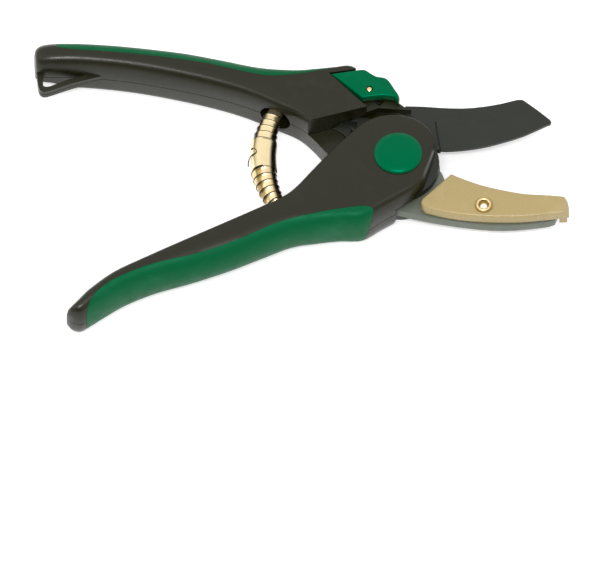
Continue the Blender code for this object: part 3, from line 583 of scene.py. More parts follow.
def tang_pocket(name, outline, z_low, z_high):
    """Room for a tang: its outline, which runs anticlockwise, pushed out by the play."""
    grown = []
    for i, (x, y) in enumerate(outline):
        before, after = outline[i - 1], outline[(i + 1) % len(outline)]
        along = Vector((after[0] - before[0], after[1] - before[1])).normalized()
        grown.append((x + TANG_PLAY * along.y, y - TANG_PLAY * along.x))
    return prism(name, grown, z_low, z_high)


def lower_head_cut(name):
    """Everything on the head's side of the line where the lower handle's bottom shell ends."""
    outline = [(-60, -3.1), (-35, -10.7), (0, -21.4), (0.6, -26), (0.6, -40), (60, -40),
               (60, 60), (-60, 60)]
    return prism(name, outline, -2.0, PARTING + GAP)


def make_lower_shells():
    top, bottom = half_shells("lower", LOWER_STATIONS)
    rooms = shell_rooms("lower", LOWER_STATIONS, lower_region, LOWER_MOUTH_DEG, 1,
                        ((6, 7), (8, 9)), LOWER_SCREWS)
    for shell in (top, bottom):
        cut(shell, *rooms)
    room = (5.0, UPPER_CHEEK_BOTTOM)
    steps = [(0.0, ABOVE), (HEAD_BORE_R, ABOVE), (HEAD_BORE_R, 15.2), (BOLT_HOLE_R, 15.2),
             (BOLT_HOLE_R, 10.0), (0, 10)]
    cut(top, rod("head_clear", HEAD_CLEAR_R, *room, segments=48),
        tang_pocket("blade_pocket", smooth(BLADE_TANG, 2) + [(0, 0)], *room),
        turned("top_bore", steps))
    cut(bottom, lower_head_cut("lower_head_cut"))
    for shell in (top, bottom):
        finish(shell, "black_plastic", "lower_body")


# ---- upper body

SLOT_LINE = ((-11.9, 21.4), (-26.6, 36.9))
JAW_TANG_POINTS = 28  # how many points of the jaw plate's outline lie along its tang


def jaw_outline():
    far_edge = smooth([(3, -20.4), (9.6, -22.2), (18.4, -24), (27.2, -25.4), (36, -26.4),
                       (45, -26.3), (53.7, -25.3), (58, -24.6)], 2)
    nose = [(60.2, -23.6), (61, -21.6), (60.8, -18)]
    seat = smooth([(58, -17.4), (50, -16.6), (40, -14.8), (30, -11.6), (22, -8.4)], 2)
    crotch = smooth([(17.9, -6), (17.2, -3.2), (15.6, -0.6), (13.4, 1.8)], 2)
    head = arc((0, 0), 13.6, 12.0, 78.0, 7)
    tang = smooth([(-4, 17.4), (-12, 20.5), (-20, 25), (-28, 29.6), (-33.6, 30.6),
                   (-36, 28.6), (-36.2, 25), (-33, 21.4), (-27, 18.6), (-21, 15.4),
                   (-18, 8.5), (-16, 0.5), (-13, -6), (-9, -12), (-5, -18)], 2)
    return far_edge + nose + seat + crotch + head + tang


def anvil_outline():
    """The anvil from above; its face lies just short of the blade's edge when closed."""
    met = [(x, y - BITE_GAP) for x, y in rotated(BLADE_EDGE[:-1], -CLOSING_DEG)]
    face = smooth([(20.4, -5.9)] + met[::-1] + [(63.6, -16.1)], 2)
    end = [(ANVIL_END_X - 0.6, -17.6), (ANVIL_END_X, -20.0), (ANVIL_END_X, -23.2)]
    near = smooth([(61, -23.9), (55, -24.7), (47, -25.5), (38, -25.6), (28, -25),
                   (19, -23.6), (10.6, -21.4)], 2)
    heel = [(9.1, -20), (8.7, -18.6), (9.3, -17.1)]
    return face + end + near + heel


def make_anvil():
    anvil = prism("anvil", anvil_outline(), *ANVIL_Z, edge=ANVIL_EDGE_R)
    hook = [(61.9, -16.5), (64.5, -18.4), (64.9, -20.4), (64.9, -22.6), (61.9, -22.9)]
    join(anvil, prism("anvil_hook", hook, HOOK_BOTTOM, ANVIL_Z[0] + 1.5))
    slope = [((ANVIL_END_X - 2.2, y, ANVIL_Z[1] + 0.2), (ANVIL_END_X + 1.0, y, ANVIL_Z[1] + 0.2),
              (ANVIL_END_X + 1.0, y, ANVIL_Z[1] - 4.2)) for y in (-26, -12)]
    cut(anvil, solid_between("anvil_end_slope", slope),
        rod("anvil_hole", ANVIL_HOLE_R, *THROUGH_ANVIL, ANVIL_SCREW_AT, 24))
    return finish(anvil, "anvil_metal", "upper_body")


def upper_head_cut(name):
    """The head's side of the line where the upper handle's top shell ends."""
    outline = [(-33.4, 15.45), (-11.5, 21.7), (-7.5, 23.3), (2.8, 22.4), (40, 22), (40, -60),
               (-60, -60), (-60, 9)]
    return prism(name, outline, PARTING - 1, ABOVE)


def catch_space(name, z_low, z_high):
    """The room that the catch slides in, beyond the slot line and below the rim."""
    outline = [(-4, 13.1), *SLOT_LINE, (-16.2, 38.6), (-15.8, 46), (30, 46), (30, 13.1)]
    return prism(name, outline, z_low, z_high)


def web_space(name):
    """The room for the catch's outer web, at every height."""
    outline = [(-15.9, 46), (-16.1, 36.4), (-12.3, 32.2), (-7, 30.4), (-2.6, 28), (3.4, 22.9),
               (20, 22), (30, 46)]
    return prism(name, outline, ARM_Z[0] - 10, ARM_Z[1] + 10)


LOOP_HALF_T = 2.0  # half the thickness of the hanging loop's bar


def loop_half(name, z_low, z_high):
    """One half of the hanging loop's bar, run into the handle at both ends."""
    outer = smooth([(-139.3, 43), (-138.9, 39), (-138.3, 35), (-137.2, 33.5), (-135.2, 33.3),
                    (-130, 35.3), (-125, 37.2), (-119, 39), (-113, 40.6)], 2)
    inner = smooth([(-119, 43), (-121.4, 40.6), (-126, 39.3), (-130, 37.6), (-134.2, 35.7),
                    (-136.2, 35.8), (-136.7, 37), (-136.7, 43)], 2)
    return prism(name, outer + [(-113, 43)] + inner, z_low, z_high)


def make_upper_shells():
    top, bottom = half_shells("upper", UPPER_STATIONS)
    relief = [((x, 34.0, -2.0), (x, 34.0, z), (x, 45.0, z), (x, 45.0, -2.0))
              for x, z in ((-142, 7.7), (-137, 7.7), (-131, 5.4), (-124, -1))]
    cut(bottom, solid_between("loop_relief", relief))
    join(top, loop_half("loop_top", PARTING + GAP / 2, PARTING + LOOP_HALF_T))
    join(bottom, loop_half("loop_bottom", PARTING - LOOP_HALF_T, PARTING - GAP / 2))
    rooms = shell_rooms("upper", UPPER_STATIONS, upper_region, UPPER_MOUTH_DEG, -1,
                        ((3, 5), (6, 8)), UPPER_SCREWS)
    rooms.append(web_space("web_space"))
    for shell in (top, bottom):
        cut(shell, *rooms)
    cut(top, upper_head_cut("upper_head_cut"), catch_space("catch_space_top", ARM_Z[1], ABOVE),
        catch_space("tongue_space", PARTING - 1, UPPER_CHEEK_BOTTOM),
        rod("tail_clear", TAIL_CLEAR_R, 5.0, UPPER_CHEEK_BOTTOM, segments=64), pin_slot("pin_slot"))
    trim = [(-25, 20), (30, 20), (30, 45), (-25, 45)]
    high = 15.0  # past the top of everything in the bottom shell
    recess_r = CAP_R + 0.45
    steps = [(0.0, high), (BOLT_HOLE_R, high), (BOLT_HOLE_R, 4.0), (HEAD_BORE_R, 4.0),
             (HEAD_BORE_R, 1.3), (recess_r, 1.3), (recess_r, -5.0), (0, -5)]
    cut(bottom, catch_space("catch_space_bottom", BELOW, ARM_Z[0]),
        rod("bottom_head_clear", HEAD_CLEAR_R, LOWER_CHEEK_TOP, high, segments=48),
        tang_pocket("jaw_pocket", jaw_outline()[-JAW_TANG_POINTS:], LOWER_CHEEK_TOP, high),
        prism("arm_top_trim", trim, JAW_Z[1], high), turned("bottom_bore", steps))
    for shell in (top, bottom):
        finish(shell, "black_plastic", "upper_body")


# ---- catch, lock

CATCH_EDGE = ((-15.5, 38.4), (-13.6, 38.6), (-12.2, 38.2), (-10.5, 36.9), (-8.3, 35.5), (-5.6, 35),
              (-4, 34.1), (-2.8, 32.4), (-1.5, 30), (0, 27.5), (0.6, 25.6), (0.3, 24.2))
PIN_AT = (-11, 29.6)
PIN_R = 0.9
PIN_PLAY = 0.45  # clearance round the pin in the catch


def pin_slot(name):
    """A slot along the slide for the pin, as long as the catch's travel."""
    end = Vector(PIN_AT) + SLIDE * (LOCK_TRAVEL + 1.6)
    outline = tongue_outline(end, PIN_R + 0.4, LOCK_TRAVEL + 3.2)
    return prism(name, outline, ARM_Z[1] - 4, ARM_Z[1] + 5)


def catch_plate(name, z_low, z_high):
    lower_edge = smooth([(-1.2, 26), (-5, 26.7), (-10, 26.2), (-13.7, 25.7)], 2)
    outline = smooth(CATCH_EDGE, 2) + lower_edge + [(-25.8, 36.6)]
    return prism(name, outline, z_low, z_high, CATCH_EDGE_R)


def make_catch():
    catch = catch_plate("lock_catch", ARM_Z[1] + GAP, HANDLE_T)
    join(catch, catch_plate("catch_under", 0.0, ARM_Z[0] - GAP))
    outer = smooth([(-14.9, 38.3), (-13.6, 38.4), (-12.2, 38), (-10.5, 36.7), (-8.3, 35.3),
                    (-6.2, 34.9)], 2)
    web = outer + [(-6.6, 32.9), (-9, 33.4), (-12, 35.6), (-14.9, 36.2)]
    join(catch, prism("catch_web", web, 1.5, HANDLE_T - 1.5))
    cut(catch, rod("catch_pin_hole", PIN_R + PIN_PLAY, PARTING, ABOVE, PIN_AT, 20))
    finish(catch, "green_plastic", "lock_body")
    foot = TONGUE_Z[0]
    pin = turned("lock_pin", [(0, 20), (0.6, 20), (PIN_R, 19.8), (PIN_R, foot), (0.0, foot)],
                 PIN_AT, 20)
    finish(pin, "brass", "lock_body")
    tongue = prism("lock_tongue", tongue_outline(TONGUE_TIP, TONGUE_HALF, TONGUE_LENGTH), *TONGUE_Z)
    cut(tongue, rod("tongue_pin_hole", PIN_R + 0.3, 9, 14, PIN_AT, 20))
    finish(tongue, "steel", "lock_body")


# ---- materials

GRAIN_HEIGHT = 0.06  # depth of the fine grain
SMUDGE_MM = 3.5  # size of the patches of uneven gloss
PATCH_MM = 9.0  # size of the rubbed patches
WORN_FROM = 0.55  # levels of the noise between which a patch turns to the worn shade
WORN_TO = 0.80


def shader_node(tree, kind, output, sockets, **settings):
    """One output of a new node, its sockets set to numbers or colours, or linked."""
    made = tree.nodes.new("ShaderNode" + kind)
    for setting, value in settings.items():
        setattr(made, setting, value)
    for socket, value in sockets.items():
        if isinstance(value, bpy.types.NodeSocket):
            tree.links.new(value, made.inputs[socket])
        else:
            made.inputs[socket].default_value = value
    return made.outputs[output]


def noise(tree, coords, scale, detail=3.0, roughness=0.5):
    sockets = {"Scale": scale, "Detail": detail, "Roughness": roughness, "Vector": coords}
    return shader_node(tree, "TexNoise", "Fac", sockets)


def remap(tree, value, low, high, from_low=0.3, from_high=0.7):
    sockets = {"From Min": from_low, "From Max": from_high, "To Min": low, "To Max": high,
               "Value": value}
    return shader_node(tree, "MapRange", "Result", sockets)


def times(tree, one, two):
    return shader_node(tree, "Math", "Value", {0: one, 1: two}, operation="MULTIPLY")


def mix(tree, factor, one, two):
    one, two = ((*value, 1.0) if isinstance(value, tuple) else value for value in (one, two))
    return shader_node(tree, "Mix", "Result", {"Factor": factor, "A": one, "B": two},
                       data_type="RGBA")


def surface(name, colour, worn, roughness, grain_mm, grain, metallic=0.0, specular=0.5, tint=None):
    """A finish with fine grain, uneven gloss and patches that have rubbed to another shade."""
    made = bpy.data.materials.new(name)
    made.use_nodes = True
    tree = made.node_tree
    shader = tree.nodes["Principled BSDF"]
    coords = tree.nodes.new("ShaderNodeTexCoord").outputs["Object"]
    patches = noise(tree, coords, 1 / (PATCH_MM * MM), 5.0, 0.6)
    share = remap(tree, patches, 0.0, 1.0, WORN_FROM, WORN_TO)
    tree.links.new(mix(tree, share, colour, worn), shader.inputs["Base Color"])
    smudge = noise(tree, coords, 1 / (SMUDGE_MM * MM), 4.0)
    tree.links.new(remap(tree, smudge, *roughness), shader.inputs["Roughness"])
    fine = noise(tree, coords, 1 / (grain_mm * MM), 2.0)
    sockets = {"Strength": grain, "Distance": GRAIN_HEIGHT * MM, "Height": fine}
    tree.links.new(shader_node(tree, "Bump", "Normal", sockets), shader.inputs["Normal"])
    shader.inputs["Metallic"].default_value = metallic
    shader.inputs["Specular IOR Level"].default_value = specular
    if tint:
        shader.inputs["Specular Tint"].default_value = (*tint, 1.0)
    return made


# Colours of the spring's plate, with painted shade and a painted reflection
BRIGHT_BRASS = (1.0, 0.82, 0.49)
# painted shade: a darker copy of the brass for the lower turns
SHADED_LOWER_BRASS = (0.92, 0.71, 0.40)
# painted reflection of the black handle: an olive streak on the lower turns
PAINTED_OLIVE_REFLECTION = (0.38, 0.27, 0.10)
# painted shade on the spring's inner side, and painted dark reflection on the upper turns' outer flank
PAINTED_DARK_BRASS = (0.035, 0.026, 0.014)

# Distances from the pivot's axis between which the plate's painted shade and painted reflections come in
SHADE_WITHIN = (48.6, 49.7)
UPPER_SHADE_WITHIN = (49.8, 50.9)
UPPER_REFLECTION_BEYOND = (55.9, 55.1)
REFLECTION_STREAK_WITHIN = ((52.4, 53.2), (55.3, 54.4))

# Tints of the green pieces' reflections
GREEN_SHEEN = (0.0, 1.0, 0.65)
RUBBER_SHEEN = (0.22, 1.0, 0.65)


def spring_brass(name, bright, shade_within, dark_beyond=None, reflection_streak=None):
    """Plate on the spring's strip, with painted shade on the side towards the pivot and painted dark
    reflections set by distance from it.
    """
    made = surface(name, bright, tuple(0.9 * part for part in bright), (0.19, 0.29), 0.5, 0.10,
                   metallic=0.9)
    tree = made.node_tree
    shader = tree.nodes["Principled BSDF"]
    coords = tree.nodes.new("ShaderNodeTexCoord").outputs["Object"]
    flat = shader_node(tree, "VectorMath", "Vector", {0: coords, 1: (1.0, 1.0, 0.0)},
                       operation="MULTIPLY")
    reach = shader_node(tree, "VectorMath", "Value", {0: flat}, operation="LENGTH")
    colour = shader.inputs["Base Color"].links[0].from_socket
    # painted reflection streak, then painted shade towards the pivot and painted dark reflection on the
    # outer flank
    if reflection_streak:
        rise, fade = (remap(tree, reach, 0.0, 1.0, near * MM, far * MM) for near, far in reflection_streak)
        colour = mix(tree, times(tree, rise, fade), colour, PAINTED_OLIVE_REFLECTION)
    for near, far in filter(None, (shade_within, dark_beyond)):
        colour = mix(tree, remap(tree, reach, 0.0, 1.0, near * MM, far * MM), PAINTED_DARK_BRASS, colour)
    tree.links.new(colour, shader.inputs["Base Color"])
    return made


def make_materials():
    """The finishes by name: colour, worn colour, roughness, size and strength of the grain."""
    made = (
        surface("black_plastic", (0.009, 0.009, 0.001), (0.015, 0.015, 0.007), (0.27, 0.37), 0.45,
                0.80, specular=0.40),
        surface("green_plastic", (0.0, 0.092, 0.030), (0.001, 0.102, 0.037), (0.24, 0.32), 0.5,
                0.10, specular=0.36, tint=GREEN_SHEEN),
        surface("green_rubber", (0.0, 0.078, 0.024), (0.004, 0.104, 0.040), (0.42, 0.56), 0.3,
                0.4, specular=0.3, tint=RUBBER_SHEEN),
        surface("blade_steel", (0.012, 0.014, 0.009), (0.020, 0.022, 0.017), (0.34, 0.46), 0.25,
                0.15, specular=0.42),
        surface("jaw_steel", (0.113, 0.130, 0.100), (0.140, 0.155, 0.125), (0.36, 0.50), 0.3, 0.25),
        surface("anvil_metal", (0.358, 0.271, 0.113), (0.398, 0.312, 0.141), (0.22, 0.32), 0.4, 0.18),
        surface("brass", (0.92, 0.70, 0.36), (0.84, 0.60, 0.27), (0.16, 0.26), 0.5, 0.10,
                metallic=1.0),
        # painted shade for the anvil screw's socket wall and flange rim
        surface("socket_wall", (0.34, 0.235, 0.070), (0.26, 0.180, 0.050), (0.30, 0.45), 0.5, 0.10,
                metallic=0.8),
        # painted shade towards the pivot on every strip, painted dark reflection on the upper turns'
        # outer flank and a painted reflection streak on the lower turns
        spring_brass("barrel_brass", BRIGHT_BRASS, SHADE_WITHIN),
        spring_brass("upper_brass", BRIGHT_BRASS, UPPER_SHADE_WITHIN, dark_beyond=UPPER_REFLECTION_BEYOND),
        spring_brass("lower_brass", SHADED_LOWER_BRASS, SHADE_WITHIN, reflection_streak=REFLECTION_STREAK_WITHIN),
        # painted shade for the spring's strip edges and its tail
        surface("strip_edge", (0.030, 0.018, 0.008), (0.060, 0.040, 0.018), (0.40, 0.60), 0.5, 0.10,
                metallic=0.5),
        # painted light for the anvil screw's socket floor
        surface("bright_nickel", (0.93, 0.91, 0.82), (0.85, 0.82, 0.70), (0.25, 0.40), 0.5, 0.10,
                metallic=0.3),
        surface("steel", (0.42, 0.42, 0.42), (0.34, 0.33, 0.32), (0.25, 0.40), 0.4, 0.2,
                metallic=1.0),
    )
    return {material.name: material for material in made}


# ---- blade and pivot

GROUND_UPPER = (13.09, 12.3)  # heights of the upper ground face at its border and past the edge
GROUND_LOWER = (10.13, 11.6)  # and of the lower one
GROUND_BORDER = ((14.5, 18.7), (25, 18), (35, 18.8), (44, 21.2), (52, 24), (61, 27))
GROUND_REACH = ((16.9, 3), (27, 3.9), (38, 6.2), (49, 10.5), (55, 13.4), (63, 16.6))
STOP_LINE = ((14.5, 18.6, 11.9), (15.2, 12.0, 11.6), (16.9, 3.0, 11.4))  # groove across the blade
STOP_HALF = 0.28


def make_ground_blade():
    """The blade with its hollow-ground face cut down to the edge."""
    blade = prism("blade", blade_outline(), *BLADE_Z, edge=0.12)
    rows = [(*border, *reach) for border, reach in zip(GROUND_BORDER, GROUND_REACH)]
    below, above = THROUGH_BLADE
    for name, (border_z, edge_z), clear in (("grind_upper", GROUND_UPPER, above),
                                            ("grind_lower", GROUND_LOWER, below)):
        sections = [((bx, by, border_z), (ex, ey, edge_z), (ex, ey, clear), (bx, by, clear))
                    for bx, by, ex, ey in smooth(rows, 4)]
        cut(blade, solid_between(name, sections))
    stop = [((x - STOP_HALF, y, z), (x + STOP_HALF, y, z), (x + STOP_HALF, y, above),
             (x - STOP_HALF, y, above)) for x, y, z in STOP_LINE]
    cut(blade, solid_between("grind_stop", stop),
        rod("blade_bolt_hole", BOLT_HOLE_R, *THROUGH_BLADE, segments=PIVOT_TURN),
        lock_slot("blade_lock_slot"),
        rod("blade_screw_hole", TANG_HOLE_R, *THROUGH_BLADE, LOWER_SCREWS[2], 20))
    return finish(blade, "blade_steel", "lower_body", 20)


TANG_SHADE_X = -9.0  # the jaw plate's tang has painted shade from here back


def make_jaw_plate():
    """The grey plate that carries the anvil, with painted shade on its tang."""
    jaw = prism("jaw_plate", jaw_outline(), *JAW_Z, edge=0.25)
    cut(jaw, rod("jaw_bolt_hole", BOLT_HOLE_R, *THROUGH_JAW),
        rod("jaw_anvil_hole", ANVIL_HOLE_R, *THROUGH_JAW, ANVIL_SCREW_AT, 24),
        rod("jaw_screw_hole", TANG_HOLE_R, *THROUGH_JAW, UPPER_SCREWS[2], 20))
    finish(jaw, "jaw_steel", "upper_body")
    # painted shade: the tang's faces take the dark blade steel
    jaw.data.materials.append(materials["blade_steel"])
    build = bmesh.new()
    build.from_mesh(jaw.data)
    whole = build.verts[:] + build.edges[:] + build.faces[:]
    bmesh.ops.bisect_plane(build, geom=whole, plane_co=(TANG_SHADE_X * MM, 0.0, 0.0),
                           plane_no=(1.0, 0.0, 0.0))
    for face in build.faces:
        if face.calc_center_median().x < TANG_SHADE_X * MM:
            face.material_index = 1
    build.to_mesh(jaw.data)
    build.free()


WELL_DEPTH = 1.1  # depth of the anvil screw's round socket under the flange's seat
WELL_FLOOR_R = 1.3  # the socket's floor, with painted light
WELL_RIM_R = 1.96  # its wall, with painted shade, ends here
FLANGE_RIM_R = 3.0  # and the flange's rim, with painted shade, starts here


def make_anvil_fixings():
    """A flanged brass screw with a round socket, painted light on its floor and painted shade on its wall
    and the flange's rim, and its nut.
    """
    top = ANVIL_Z[1] + GAP
    floor = top - WELL_DEPTH
    profile = [(0.0, floor), (WELL_FLOOR_R, floor), (1.6, floor + 0.15), (1.88, top + 0.35),
               (2.0, top + 0.62), (2.2, top + 0.80), (2.5, top + 0.88), (2.8, top + 0.8),
               (2.95, top + 0.6), (3.02, top + 0.3), (3.05, top + 0.12), (3.4, top + 0.12),
               (3.4, top), (ANVIL_SHANK_R, top), (ANVIL_SHANK_R, ANVIL_NUT_Z), (0.0, ANVIL_NUT_Z)]
    screw = finish(turned("anvil_screw", profile, ANVIL_SCREW_AT, 64), "brass", "upper_body", 50)
    screw.data.materials.append(materials["bright_nickel"])
    screw.data.materials.append(materials["socket_wall"])
    # painted light on the socket's floor, painted shade on its wall and on the flange's rim
    for face in screw.data.polygons:
        reach = face.center.xy.length / MM
        if face.center.z < (floor - 0.05) * MM:
            continue
        if reach < WELL_FLOOR_R:
            face.material_index = 1
        elif reach < WELL_RIM_R or reach > FLANGE_RIM_R:
            face.material_index = 2
    nut = prism("anvil_nut", hexagon(7.0, ANVIL_SCREW_AT), ANVIL_NUT_Z, JAW_Z[0] - GAP, NUT_EDGE_R)
    cut(nut, rod("anvil_nut_hole", ANVIL_HOLE_R, *THROUGH_ANVIL_NUT, ANVIL_SCREW_AT, 24))
    finish(nut, "brass", "upper_body")


PIVOT_TURN = 64  # sides of the round pieces on the pivot
CAP_TURN = 96
BOLT_HEAD_R = 6.6
BOLT_HEAD_Z = (16.6, 19)
WASHER_R = 6.9
WASHER_Z = (15.5, 16.3)
NUT_Z = (1.6, 3.7)
NUT_FLATS = 11.6  # across the flats
NUT_EDGE_R = 0.3
CAP_FLAT_R = 5.9  # where the cap's dome starts to round down to its rim
CAP_TOP = 21.9
CAP_FALL = 0.20  # fall of the dome from its middle to there
CAP_RIM_Z = 20.2
CAP_SEAT_Z = 20.05  # underside of the rim
CAP_STEM_R = 6.9
CAP_STEM_Z = 19.4
DOME_STEPS = 10
RIM_STEPS = 12


def make_pivot():
    head_low, head_top = BOLT_HEAD_Z
    bolt = [(0.0, head_top), (5.4, head_top), (6.2, 18.4), (BOLT_HEAD_R, 17.4), (BOLT_HEAD_R, head_low),
            (BOLT_R, head_low), (BOLT_R, NUT_Z[0] + 0.4), (BOLT_R - 0.4, NUT_Z[0]), (0, NUT_Z[0])]
    finish(turned("pivot_bolt", bolt, segments=PIVOT_TURN), "steel", "lower_body")
    low, high = WASHER_Z
    washer = [(WASHER_R, high), (WASHER_R, low), (BOLT_HOLE_R, low), (BOLT_HOLE_R, high)]
    finish(turned("pivot_washer", washer, segments=PIVOT_TURN, closed=True), "steel", "lower_body")
    nut = prism("pivot_nut", hexagon(NUT_FLATS), *NUT_Z, NUT_EDGE_R)
    cut(nut, rod("pivot_nut_hole", BOLT_HOLE_R, *THROUGH_PIVOT_NUT, segments=PIVOT_TURN))
    finish(nut, "steel", "upper_body")
    dome = [(0.0, CAP_TOP)]
    for i in range(1, DOME_STEPS + 1):
        t = i / DOME_STEPS
        dome.append((CAP_FLAT_R * t, CAP_TOP - CAP_FALL * t ** 2))
    for i in range(1, RIM_STEPS + 1):
        angle = math.pi / 2 * i / RIM_STEPS
        dome.append((CAP_FLAT_R + (CAP_R - CAP_FLAT_R) * math.sin(angle),
                     CAP_RIM_Z + (CAP_TOP - CAP_FALL - CAP_RIM_Z) * math.cos(angle)))
    dome += [(CAP_R - 0.1, CAP_SEAT_Z), (CAP_STEM_R, CAP_SEAT_Z), (CAP_STEM_R, CAP_STEM_Z),
             (0.0, CAP_STEM_Z)]
    finish(turned("pivot_cap_top", dome, segments=CAP_TURN), "green_plastic", "lower_body", 60)
    under = [(0, 1), (CAP_R - 0.2, 1.0), (CAP_R, 0.8), (CAP_R, 0.25), (CAP_R - 0.25, 0.0), (0, 0)]
    finish(turned("pivot_cap_bottom", under, segments=CAP_TURN), "green_plastic", "upper_body")


# ---- spring

STRIP_T = 0.35  # thickness of the spring's strip
STRIP_EDGE = 0.28  # width of the band of painted shade along the strip's leading edge, for the crevice between turns
BARREL_DEG = (167.9, 182.4)  # the barrel's ends along the arc
UPPER_PITCH = 2.9  # distance between the turns above the barrel
LOWER_PITCH = 3.1  # and below it
STEPS_PER_TURN = 48
PER_MM = math.degrees(1 / SPRING_ARC_R)
SAG_FROM_DEG = 150.0  # along the spring's axis from here, its distance outside its circle is
SAG = (1.2, -0.052, -0.0000135)  # this constant, slope and cubic bend
LIP_FALL = ((-0.36, 0.55), (-0.24, 0.38), (-0.1, 0.24), (0.15, 0.08))  # shares of width and flare
LIP_END = 0.80  # share of the flare left at the inner side of the band of painted shade
TUCK = 0.12  # how far a strip's trailing edge lies under the next turn


def sag(along_deg):
    """How far the spring's axis bows off the circle about the pivot."""
    past = along_deg - SAG_FROM_DEG
    return SAG[0] + SAG[1] * past + SAG[2] * past ** 3


def on_arc(along_deg, radius, turn):
    """A point at a radius and a turning angle about the spring's curved axis."""
    angle = math.radians(along_deg)
    reach = SPRING_ARC_R + sag(along_deg) + radius * math.cos(turn)
    return Vector((reach * math.cos(angle), reach * math.sin(angle), PARTING + radius * math.sin(turn)))


def wound_strip(name, plate, span_deg, turns, width, radii, lip, start_turn=0.0):
    """A strip wound about the curved axis, its leading edge flared by lip and given painted shade."""
    start_deg, end_deg = span_deg
    steps = int(turns * STEPS_PER_TURN)
    sections = []
    for i in range(steps + 1):
        t = i / steps
        middle = start_deg + (end_deg - start_deg) * t
        turn = start_turn - math.tau * turns * t
        radius = radii[0] + (radii[1] - radii[0]) * t
        flare = lip[0] + lip[1] * math.cos(turn)
        profile = [(-0.5, flare), (-0.5 + STRIP_EDGE / width, flare * LIP_END)]
        profile += [(share, flare * part) for share, part in LIP_FALL] + [(0.5, -TUCK)]
        row = [on_arc(middle + share * width * PER_MM, radius + out, turn) for share, out in profile]
        row += [on_arc(middle + share * width * PER_MM, radius + out - STRIP_T, turn)
                for share, out in reversed(profile)]
        sections.append(row)
    strip = solid_between(name, sections)
    strip.data.materials.append(materials[plate])
    strip.data.materials.append(materials["strip_edge"])
    # painted shade along the strip's leading edge
    ring_faces = 2 * len(profile)
    for face in strip.data.polygons:
        if face.index < steps * ring_faces and face.index % ring_faces in (0, ring_faces - 1):
            face.material_index = 1
    return strip


# The strip's free end as along-degrees, height over the barrel and turning degrees.
TAIL = ((178.4, 1.2, -18), (177.1, 0.7, 0), (176.3, 0.3, 20), (176.0, 0.15, 38), (175.8, 0.12, 53),
        (174.8, 0.12, 58), (173.6, 0.12, 49), (172.9, 0.12, 35), (173.0, 0.12, 22))
TAIL_R = 0.2


def make_tail():
    """The cut end of the lower strip, lying on the barrel as a thin hook in painted shade."""
    radius = SPRING_R - STRIP_T
    sections = []
    for along, over, turn_deg in smooth(TAIL, 6):
        turn = math.radians(turn_deg)
        centre = on_arc(along, radius + over, turn)
        out = (on_arc(along, radius + over + 1.0, turn) - centre).normalized()
        side = (on_arc(along + 1.0, radius + over, turn) - centre).normalized()
        sections.append([centre + out * x + side * y for x, y in arc((0, 0), TAIL_R, 0, 315, 7)])
    tail = solid_between("spring_tail", sections)
    tail.data.materials.append(materials["strip_edge"])
    return tail


SEAT_GAP = 0.8  # from a socket's floor to the spring's seat

# From the ends of a cone to the middles of its first and last turns
UPPER_INSET = (2.0, 1.6)
LOWER_INSET = (1.2, -1.9)
SHORT_BY = 0.6  # what the barrel's width, in mm, and the lower cone's turns fall short by
BARREL_TURNS = 1.15
BARREL_DRIFT = 0.3  # half of how far its strip advances

# Width of each cone's strip, radii at its two ends, flare of its leading edge and how much
# that changes round the bend, and the turning angle where it starts; the barrel has no width here
UPPER_STRIP = (4.2, (2.5, 4.5), (0.30, 0.0))
BARREL_STRIP = ((SPRING_R - 0.42, SPRING_R - 0.32), (0.0, 0.0), 2.4)
LOWER_STRIP = (4.0, (4.15, 2.25), (0.95, 0.35), math.pi * 1.1)

BARREL_SHARE = 0.34  # where the barrel stands between the seats, for the ends worked out for each strip
RIGID_SPAN = 1000.0  # how far apart the barrel's worked-out ends are set; nothing then uses the ends


def make_spring():
    """Three strips for the two cones and the barrel of the double volute spring."""
    seat = math.degrees((SOCKET_DEPTH - SEAT_GAP) / SPRING_ARC_R)
    first, last = UPPER_MOUTH_DEG - seat, LOWER_MOUTH_DEG + seat
    top, bottom = BARREL_DEG
    upper = wound_strip("spring_upper_turns", "upper_brass",
                        (first + UPPER_INSET[0] * PER_MM, top + UPPER_INSET[1] * PER_MM),
                        (top - first) / PER_MM / UPPER_PITCH, *UPPER_STRIP)
    half_way, drift = (top + bottom) / 2, BARREL_DRIFT * PER_MM
    barrel = wound_strip("spring_barrel", "barrel_brass", (half_way - drift, half_way + drift),
                         BARREL_TURNS, (bottom - top) / PER_MM - SHORT_BY, *BARREL_STRIP)
    lower = wound_strip("spring_lower_turns", "lower_brass",
                        (bottom + LOWER_INSET[0] * PER_MM, last + LOWER_INSET[1] * PER_MM),
                        (last - bottom) / PER_MM / LOWER_PITCH - SHORT_BY, *LOWER_STRIP)
    seats = [on_arc(along, 0.0, 0.0) for along in (first, top, bottom, last)]
    along_barrel = (seats[2] - seats[1]).normalized() * RIGID_SPAN
    middle = (seats[1] + seats[2]) / 2
    barrel_ends = (middle - along_barrel * BARREL_SHARE, middle + along_barrel * (1 - BARREL_SHARE))
    upper_ends = (seats[0], seats[0] + (seats[1] - seats[0]) / BARREL_SHARE)
    lower_ends = (seats[3] + (seats[2] - seats[3]) / (1 - BARREL_SHARE), seats[3])
    for strip, ends in ((upper, upper_ends), (barrel, barrel_ends), (lower, lower_ends),
                        (make_tail(), barrel_ends)):
        keep_piece(strip)
        strip.data.shade_smooth()
        strip.data.set_sharp_from_angle(angle=math.radians(40))
        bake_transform(strip)
    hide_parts("return_spring")


# ---- the studio

FRAME_WIDTH = 230.2  # width of the view at the object, in mm
TARGET = (-37.7, -50.4, 0.0)
ELEVATION = math.radians(58.0)
DISTANCE = 9000.0


